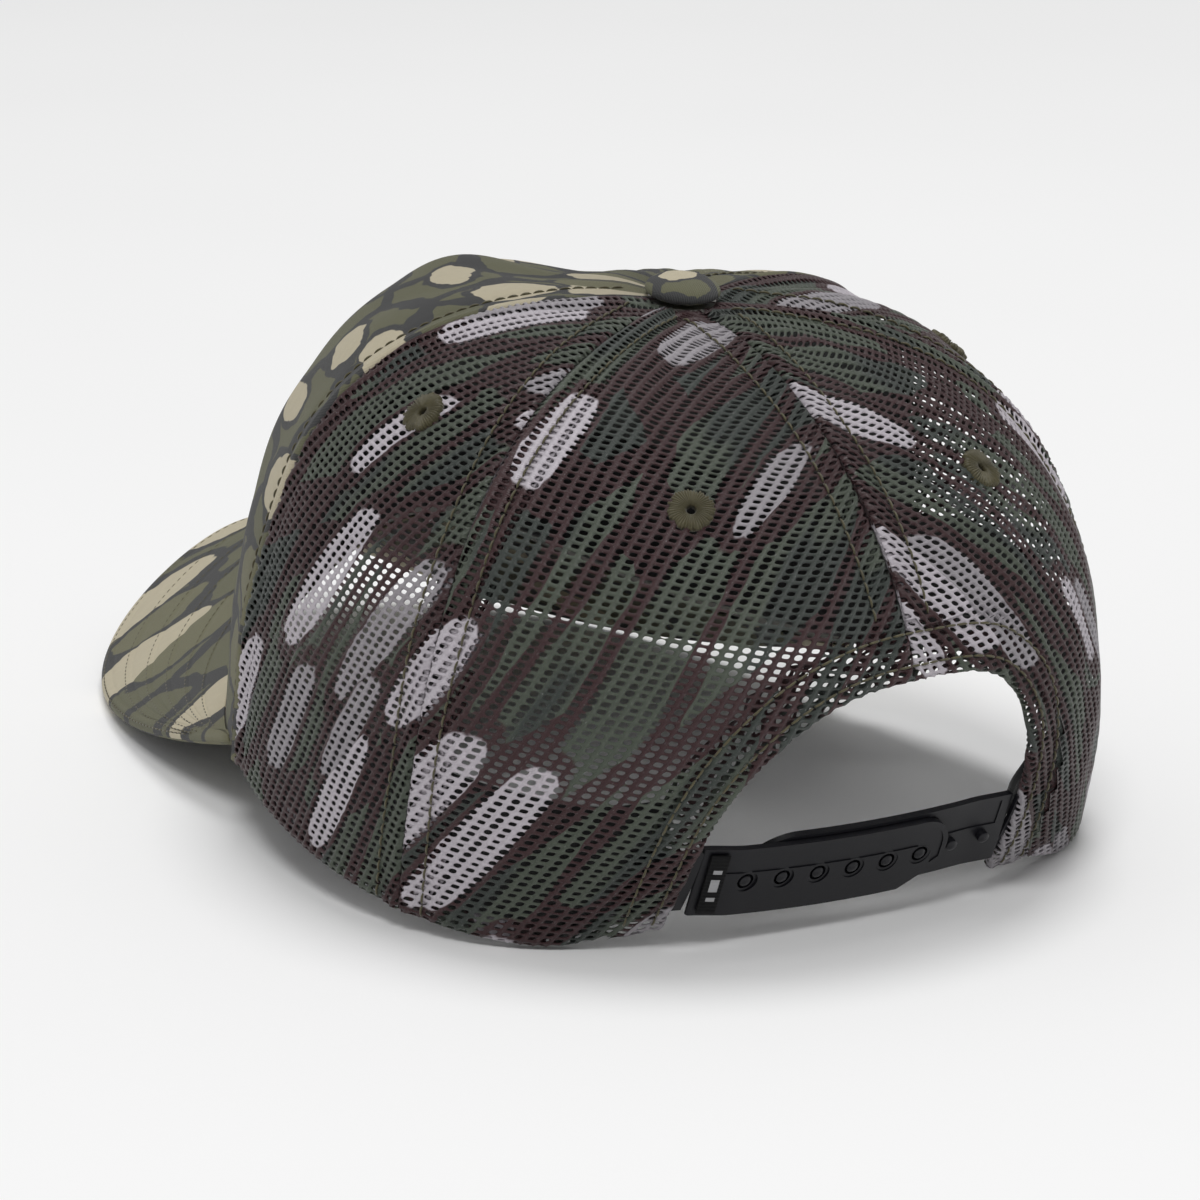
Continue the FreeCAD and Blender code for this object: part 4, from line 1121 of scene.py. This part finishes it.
def scaled_value(tree, value, factor, shift):
    """value * factor + shift."""
    return calculate(tree, "ADD", calculate(tree, "MULTIPLY", value, factor), shift)


def mix_colour(tree, share, first, second):
    made = tree.nodes.new("ShaderNodeMix")
    made.data_type = "RGBA"
    join(tree, share, made.inputs[0])
    join(tree, first, made.inputs[6])
    join(tree, second, made.inputs[7])
    return made.outputs[2]


def band(tree, value, low, high):
    """0 below low, 1 above high, smooth between."""
    made = tree.nodes.new("ShaderNodeMapRange")
    made.interpolation_type = "SMOOTHSTEP"
    join(tree, value, made.inputs[0])
    made.inputs[1].default_value = low
    made.inputs[2].default_value = high
    return made.outputs[0]


def scaled(tree, vector, scale, shift=(0, 0, 0), turn=0.0):
    made = tree.nodes.new("ShaderNodeMapping")
    join(tree, vector, made.inputs[0])
    made.inputs[1].default_value = shift
    made.inputs[2].default_value = (0, 0, math.radians(turn))
    made.inputs[3].default_value = scale
    return made.outputs[0]


def noise(tree, vector, scale, detail=2.0, colour=False):
    made = tree.nodes.new("ShaderNodeTexNoise")
    join(tree, vector, made.inputs["Vector"])
    made.inputs["Scale"].default_value = scale
    made.inputs["Detail"].default_value = detail
    return made.outputs[1 if colour else 0]


def voronoi(tree, vector, feature, randomness=1.0, squareness=2.0):
    made = tree.nodes.new("ShaderNodeTexVoronoi")
    made.voronoi_dimensions = "2D"
    made.feature = feature
    made.distance = "MINKOWSKI"
    if feature == "F1":
        made.inputs["Exponent"].default_value = squareness
    join(tree, vector, made.inputs["Vector"])
    made.inputs["Scale"].default_value = 1.0
    made.inputs["Randomness"].default_value = randomness
    return made


def stripes(tree, vector, scale, direction="X"):
    """Soft parallel stripes between 0 and 1."""
    made = tree.nodes.new("ShaderNodeTexWave")
    made.bands_direction = direction
    join(tree, vector, made.inputs["Vector"])
    made.inputs["Scale"].default_value = scale
    return made.outputs[1]


def cloth_place(tree):
    """Place on the flat cloth, in mm."""
    made = tree.nodes.new("ShaderNodeAttribute")
    made.attribute_name = "cloth"
    return made.outputs["Vector"]


def object_place(tree):
    return tree.nodes.new("ShaderNodeTexCoord").outputs["Object"]


def add_bump(tree, shader, height, distance, strength):
    """Fine relief. distance is its height in metres."""
    made = tree.nodes.new("ShaderNodeBump")
    made.inputs["Strength"].default_value = strength
    made.inputs["Distance"].default_value = distance
    join(tree, height, made.inputs["Height"])
    tree.links.new(made.outputs[0], shader.inputs["Normal"])


def warped(tree, place, amount, scale):
    """The place pushed about by slow noise, in mm, so that printed shapes grow organic edges."""
    push = noise(tree, place, scale, 3.0, colour=True)
    centred = tree.nodes.new("ShaderNodeVectorMath")
    centred.operation = "MULTIPLY_ADD"
    join(tree, push, centred.inputs[0])
    centred.inputs[1].default_value = (amount, amount, 0)
    join(tree, place, centred.inputs[2])
    return centred.outputs[0]


def patch_print(tree, place, spacing, colours, radius, outline_width, vein_width, turn=0.0,
                squareness=3.2, bare=0.0):
    """Bark-like print: rounded long patches with dark outlines on a mottled ground with branching streaks.
    spacing is the distance between patches across and along, in mm. The widths are shares of it. bare is
    the share of places left without a patch."""
    ground, patch, other_patch, outline = colours
    across, along = spacing
    bent = warped(tree, place, 0.45 * across, 1.2 / along)
    cell_place = scaled(tree, bent, (1 / across, 1 / along, 1), turn=turn)
    cells = voronoi(tree, cell_place, "F1", 0.85, squareness)
    pick = tree.nodes.new("ShaderNodeSeparateColor")
    tree.links.new(cells.outputs["Color"], pick.inputs[0])
    fine = noise(tree, place, 0.35, 3.0)
    ragged = calculate(tree, "ADD", cells.outputs["Distance"], calculate(tree, "MULTIPLY", fine, 0.05))
    size = calculate(tree, "ADD", ragged, calculate(tree, "MULTIPLY", pick.outputs[1], 0.16))
    kept = calculate(tree, "GREATER_THAN", pick.outputs[2], bare)
    outer_radius = radius + outline_width
    inside = calculate(tree, "SUBTRACT", 1.0, band(tree, size, radius, radius + 0.015))
    inside = calculate(tree, "MULTIPLY", inside, kept)
    ring = calculate(tree, "SUBTRACT", 1.0, band(tree, size, outer_radius, outer_radius + 0.02))
    ring = calculate(tree, "MULTIPLY", ring, kept)

    vein_place = scaled(tree, bent, (1.3 / across, 0.9 / along, 1), (3.1, 1.7, 0), turn)
    veins = voronoi(tree, vein_place, "DISTANCE_TO_EDGE")
    width = calculate(tree, "MULTIPLY", noise(tree, place, 0.06), vein_width)
    vein = calculate(tree, "LESS_THAN", veins.outputs["Distance"], width)
    base = mix_colour(tree, vein, ground, outline)
    base = mix_colour(tree, ring, base, outline)
    filled = mix_colour(tree, band(tree, pick.outputs[0], 0.6, 0.62), patch, other_patch)
    return mix_colour(tree, inside, base, filled)


def tinted(tree, colour, place, scale, amount):
    """Slight variation in brightness, as yarns take the dye unevenly."""
    value = noise(tree, place, scale, 4.0)
    factor = scaled_value(tree, value, amount, 1 - amount / 2)
    made = tree.nodes.new("ShaderNodeHueSaturation")
    join(tree, colour, made.inputs["Color"])
    join(tree, factor, made.inputs["Value"])
    return made.outputs[0]


def mesh_print_material():
    """Shiny knitted yarn with the mauve grey, grey green and maroon print."""
    material, tree, shader = new_material("printed_mesh")
    place = cloth_place(tree)
    mottling = band(tree, noise(tree, scaled(tree, place, (1, 0.3, 1)), 0.05), 0.5, 0.56)
    ground = mix_colour(tree, mottling, GREY_GREEN, DARK_GREY_GREEN)
    colours = (ground, MAUVE_GREY, DARK_MAUVE_GREY, MAROON)
    colour = patch_print(tree, place, (17, 54), colours, radius=0.37, outline_width=0.08, vein_width=0.27,
                         bare=0.32)
    colour = tinted(tree, colour, place, 0.9, 0.5)
    fibre = noise(tree, scaled(tree, place, (2.2, 0.8, 1)), 1.6, 4.0)
    glint = calculate(tree, "MULTIPLY", band(tree, fibre, 0.62, 0.75), 0.35)
    join(tree, mix_colour(tree, glint, colour, YARN_GLINT), shader.inputs["Base Color"])
    join(tree, scaled_value(tree, fibre, 0.3, 0.26), shader.inputs["Roughness"])
    shader.inputs["Sheen Weight"].default_value = 0.1
    shader.inputs["Sheen Roughness"].default_value = 0.4
    yarn = stripes(tree, scaled(tree, place, (1, 1.1, 1), turn=32), 1.1)
    add_bump(tree, shader, calculate(tree, "ADD", fibre, yarn), distance=0.00012, strength=0.8)
    return material


def woven_print_material(name, patch_size, turn):
    """Twill cloth with the beige, olive and slate print."""
    material, tree, shader = new_material(name)
    place = cloth_place(tree)
    colours = (OLIVE, BEIGE, LIGHT_OLIVE, SLATE)
    printed = patch_print(tree, place, patch_size, colours, radius=0.42, outline_width=0.09, vein_width=0.2,
                          turn=turn, squareness=2.3)
    colour = tinted(tree, printed, place, 0.5, 0.16)
    ribs = stripes(tree, scaled(tree, place, (1, 1, 1), turn=45), TWILL_RIBS)
    picks = stripes(tree, scaled(tree, place, (1, 1, 1), turn=-20), 2 * TWILL_RIBS)
    thread = calculate(tree, "ADD", ribs, calculate(tree, "MULTIPLY", picks, 0.5))
    shine = calculate(tree, "MULTIPLY", thread, 0.06)
    join(tree, mix_colour(tree, shine, colour, TWILL_SHINE), shader.inputs["Base Color"])
    fuzz = noise(tree, place, 3.0, 3.0)
    join(tree, scaled_value(tree, fuzz, 0.2, 0.68), shader.inputs["Roughness"])
    shader.inputs["Sheen Weight"].default_value = 0.08
    add_bump(tree, shader, calculate(tree, "ADD", thread, fuzz), distance=0.0001, strength=0.7)
    return material


def plain_cloth_material(name, colour, dark, pitch, roughness):
    """Plain woven cloth of one dye with a visible over-and-under weave."""
    material, tree, shader = new_material(name)
    place = cloth_place(tree)
    warp = stripes(tree, place, pitch, "X")
    weft = stripes(tree, place, pitch, "Y")
    weave = calculate(tree, "MULTIPLY", warp, weft)
    mottled = tinted(tree, mix_colour(tree, weave, dark, colour), place, 0.25, 0.3)
    join(tree, mottled, shader.inputs["Base Color"])
    fuzz = noise(tree, place, 2.5, 3.0)
    join(tree, scaled_value(tree, fuzz, 0.15, roughness), shader.inputs["Roughness"])
    shader.inputs["Sheen Weight"].default_value = 0.3
    add_bump(tree, shader, calculate(tree, "ADD", weave, fuzz), distance=0.0002, strength=0.8)
    return material


def thread_material(name, light, dark):
    """Twisted sewing thread."""
    material, tree, shader = new_material(name)
    place = object_place(tree)
    twist = noise(tree, place, THREAD_TWIST, 2.0)
    slow = noise(tree, place, THREAD_TWIST / 12, 2.0)
    shade = calculate(tree, "MULTIPLY", calculate(tree, "ADD", twist, slow), 0.5)
    join(tree, mix_colour(tree, shade, dark, light), shader.inputs["Base Color"])
    join(tree, scaled_value(tree, twist, 0.25, 0.4), shader.inputs["Roughness"])
    shader.inputs["Sheen Weight"].default_value = 0.2
    add_bump(tree, shader, twist, distance=0.0001, strength=0.6)
    return material


def moulded_plastic_material(name, colour, roughness):
    """Satin moulded plastic with faint flow marks and a fine grain."""
    material, tree, shader = new_material(name)
    place = object_place(tree)
    grain = noise(tree, place, 1800.0, 3.0)
    flow = noise(tree, place, 60.0, 3.0)
    join(tree, tinted(tree, colour, place, 40.0, 0.25), shader.inputs["Base Color"])
    join(tree, scaled_value(tree, flow, 0.16, roughness), shader.inputs["Roughness"])
    shader.inputs["Specular IOR Level"].default_value = 0.35
    add_bump(tree, shader, grain, distance=0.00003, strength=0.5)
    return material


def label_material():
    """Black woven tab with three plain grey bars."""
    material, tree, shader = new_material("woven_label")
    place = cloth_place(tree)
    split = tree.nodes.new("ShaderNodeSeparateXYZ")
    tree.links.new(place, split.inputs[0])
    across, height = split.outputs[0], split.outputs[1]
    marks = 0.0
    for middle, half in LABEL_BARS:
        marks = calculate(tree, "ADD", marks, near_line(tree, height, middle, half))
    marks = calculate(tree, "MULTIPLY", marks, near_line(tree, across, LABEL_WIDTH / 2, LABEL_BAR_HALF_WIDTH))
    weave = calculate(tree, "MULTIPLY", stripes(tree, place, 2.2, "X"), stripes(tree, place, 1.4, "Y"))
    ground = mix_colour(tree, weave, BLACK, SOFT_BLACK)
    join(tree, mix_colour(tree, marks, ground, BAR_GREY), shader.inputs["Base Color"])
    shader.inputs["Roughness"].default_value = 0.7
    shader.inputs["Specular IOR Level"].default_value = 0.25
    add_bump(tree, shader, weave, distance=0.0001, strength=0.8)
    return material


def near_line(tree, value, middle, half):
    """1 where the value is less than half away from the middle, and 0 elsewhere."""
    off_middle = calculate(tree, "ABSOLUTE", calculate(tree, "SUBTRACT", value, middle))
    return calculate(tree, "LESS_THAN", off_middle, half)


def metal_material():
    """Brushed steel."""
    material, tree, shader = new_material("button_steel")
    place = object_place(tree)
    brushed = noise(tree, scaled(tree, place, (400, 4000, 400)), 1.0, 3.0)
    join(tree, tinted(tree, STEEL, place, 300.0, 0.1), shader.inputs["Base Color"])
    shader.inputs["Metallic"].default_value = 1.0
    join(tree, scaled_value(tree, brushed, 0.2, 0.25), shader.inputs["Roughness"])
    return material


def floor_material():
    material, tree, shader = new_material("studio_floor")
    place = object_place(tree)
    colour = mix_colour(tree, noise(tree, place, 3.0), FLOOR_WHITE, BRIGHT_FLOOR_WHITE)
    join(tree, colour, shader.inputs["Base Color"])
    shader.inputs["Roughness"].default_value = 0.9
    shader.inputs["Specular IOR Level"].default_value = 0.0
    return material


# ---- Assembly ----

def paint_node(node, material):
    """Gives a CAD node that stays visible its material."""
    piece = frame["nodes"][node]
    piece.data.materials.clear()
    piece.data.materials.append(material)


def build_cap():
    mesh_print = mesh_print_material()
    front_print = woven_print_material("printed_twill", (34, 22), 20)
    brim_print = woven_print_material("printed_brim_twill", (38, 26), 60)
    olive = thread_material("olive_thread", OLIVE_THREAD, DARK_OLIVE_THREAD)
    band_cloth = plain_cloth_material("black_band", SOFT_BLACK, BLACK, 1.1, 0.75)
    tape_cloth = plain_cloth_material("black_tape", SOFT_TAPE_BLACK, TAPE_BLACK, 1.6, 0.7)
    lining_cloth = plain_cloth_material("grey_lining", LINING_GREY, DARK_LINING_GREY, 1.3, 0.8)
    plastic = moulded_plastic_material("black_plastic", PLASTIC_BLACK, 0.3)
    board = moulded_plastic_material("brim_board_plastic", BOARD_WHITE, 0.5)
    steel = metal_material()

    for name in PANELS:
        mesh_panel(name, mesh_print)
    arch_hem(mesh_print)
    front = front_sheet("front_twill", -PANEL_THICKNESS, 0, columns=180, rows=90)
    wrap_piece(front, "crown", front_print, "front_panel")
    lining_face = -PANEL_THICKNESS - LINING_GAP
    lining = front_sheet("front_lining_cloth", lining_face - LINING_THICKNESS, lining_face,
                         columns=120, rows=60, stop=LINING_TOP, margin=LINING_MARGIN)
    wrap_piece(lining, "crown", lining_cloth, "front_lining")
    for side, name in ((1, "left"), (-1, "right")):
        for place, seam in (("front", side * FRONT_SEAM), ("rear", side * REAR_SEAM)):
            seam_tape("seam_tape_" + place + "_" + name, seam, rim_at(seam) + 2, tape_cloth)
        eyelet("eyelet_side_" + name, side * (FRONT_SEAM + REAR_SEAM) / 2, olive)
        eyelet("eyelet_rear_" + name, side * (REAR_SEAM + BACK) / 2, olive)
    seam_tape("seam_tape_back", BACK, ABOVE_ARCH, tape_cloth)
    sweatband(band_cloth)
    crown_stitching(olive)
    arch_stitching(olive)
    button(woven_print_material("printed_button_twill", (12, 9), 20))
    brim_cover("brim_top_twill", "brim_top_cover", 1, brim_print)
    brim_cover("brim_under_twill", "brim_under_cover", -1, brim_print)
    brim_stitching(olive)
    label(label_material())
    for node in ("holed_strap", "holed_strap_tab", "pegged_strap", "pegged_strap_tab"):
        paint_node(node, plastic)
    paint_node("brim_board", board)
    for node in ("button_shell", "button_washer"):
        paint_node(node, steel)


def build_stage():
    """White floor and surroundings, and two soft lights from above."""
    floor_half = 6.0
    floor_z = cad_low.z
    corners = [(x * floor_half, y * floor_half, floor_z) for x, y in ((-1, -1), (1, -1), (1, 1), (-1, 1))]
    mesh = bpy.data.meshes.new("floor")
    mesh.from_pydata(corners, [], [(0, 1, 2, 3)])
    floor = bpy.data.objects.new("floor", mesh)
    bpy.context.scene.collection.objects.link(floor)
    mesh.materials.append(floor_material())

    world = bpy.data.worlds.new("studio")
    bpy.context.scene.world = world
    world.use_nodes = True
    background = world.node_tree.nodes["Background"]
    background.inputs["Color"].default_value = (1, 1, 1, 1)
    background.inputs["Strength"].default_value = 0.4

    centre = (cad_low + cad_high) / 2
    add_area_light("key", centre + Vector((1.2, 1.7, 3.1)), centre, size=1.2, power=44)
    add_area_light("top", centre + Vector((-0.6, -0.4, 3.2)), centre, size=1.5, power=38)
    bpy.context.scene.view_settings.view_transform = "Standard"


def add_area_light(name, place, target, size, power):
    light = bpy.data.lights.new(name, "AREA")
    light.shape = "DISK"
    light.size = size
    light.energy = power
    lamp = bpy.data.objects.new(name, light)
    lamp.location = place
    lamp.rotation_euler = (target - place).to_track_quat("-Z", "Y").to_euler()
    bpy.context.scene.collection.objects.link(lamp)


def build_camera():
    """Camera behind and to the wearer's left, a little above, as in the product view. It is turned a little
    off its target by the pan and the tilt."""
    azimuth, elevation, roll = math.radians(147.71), math.radians(21.757), math.radians(5.096)
    pan, tilt = math.radians(1.033), math.radians(0.975)
    distance, target = 995.6, np.array([0.0, 0.0, 60.0])
    level = math.cos(elevation)
    back = np.array([math.sin(azimuth) * level, -math.cos(azimuth) * level, math.sin(elevation)])
    right = unit(np.cross(-back, [0, 0, 1]))
    up = np.cross(right, -back)
    rolled_right = right * math.cos(roll) + up * math.sin(roll)
    rolled_up = up * math.cos(roll) - right * math.sin(roll)
    forward = unit(-back - rolled_right * math.tan(pan) - rolled_up * math.tan(tilt))
    right = unit(np.cross(forward, rolled_up))
    up = np.cross(right, forward)
    turned = to_row(np.stack([right, up, -forward])) * MM_PER_M
    place = to_row(target + back * distance)

    data = bpy.data.cameras.new("camera")
    data.sensor_width = 36.0
    data.lens = 144.765
    data.clip_start = 0.05
    data.clip_end = 20.0
    camera = bpy.data.objects.new("camera", data)
    camera.matrix_world = Matrix.Translation(place.tolist()) @ Matrix(turned.T.tolist()).to_4x4()
    bpy.context.scene.collection.objects.link(camera)
    bpy.context.scene.camera = camera


def unit(vector):
    return vector / np.linalg.norm(vector)


build_cap()
build_stage()
build_camera()
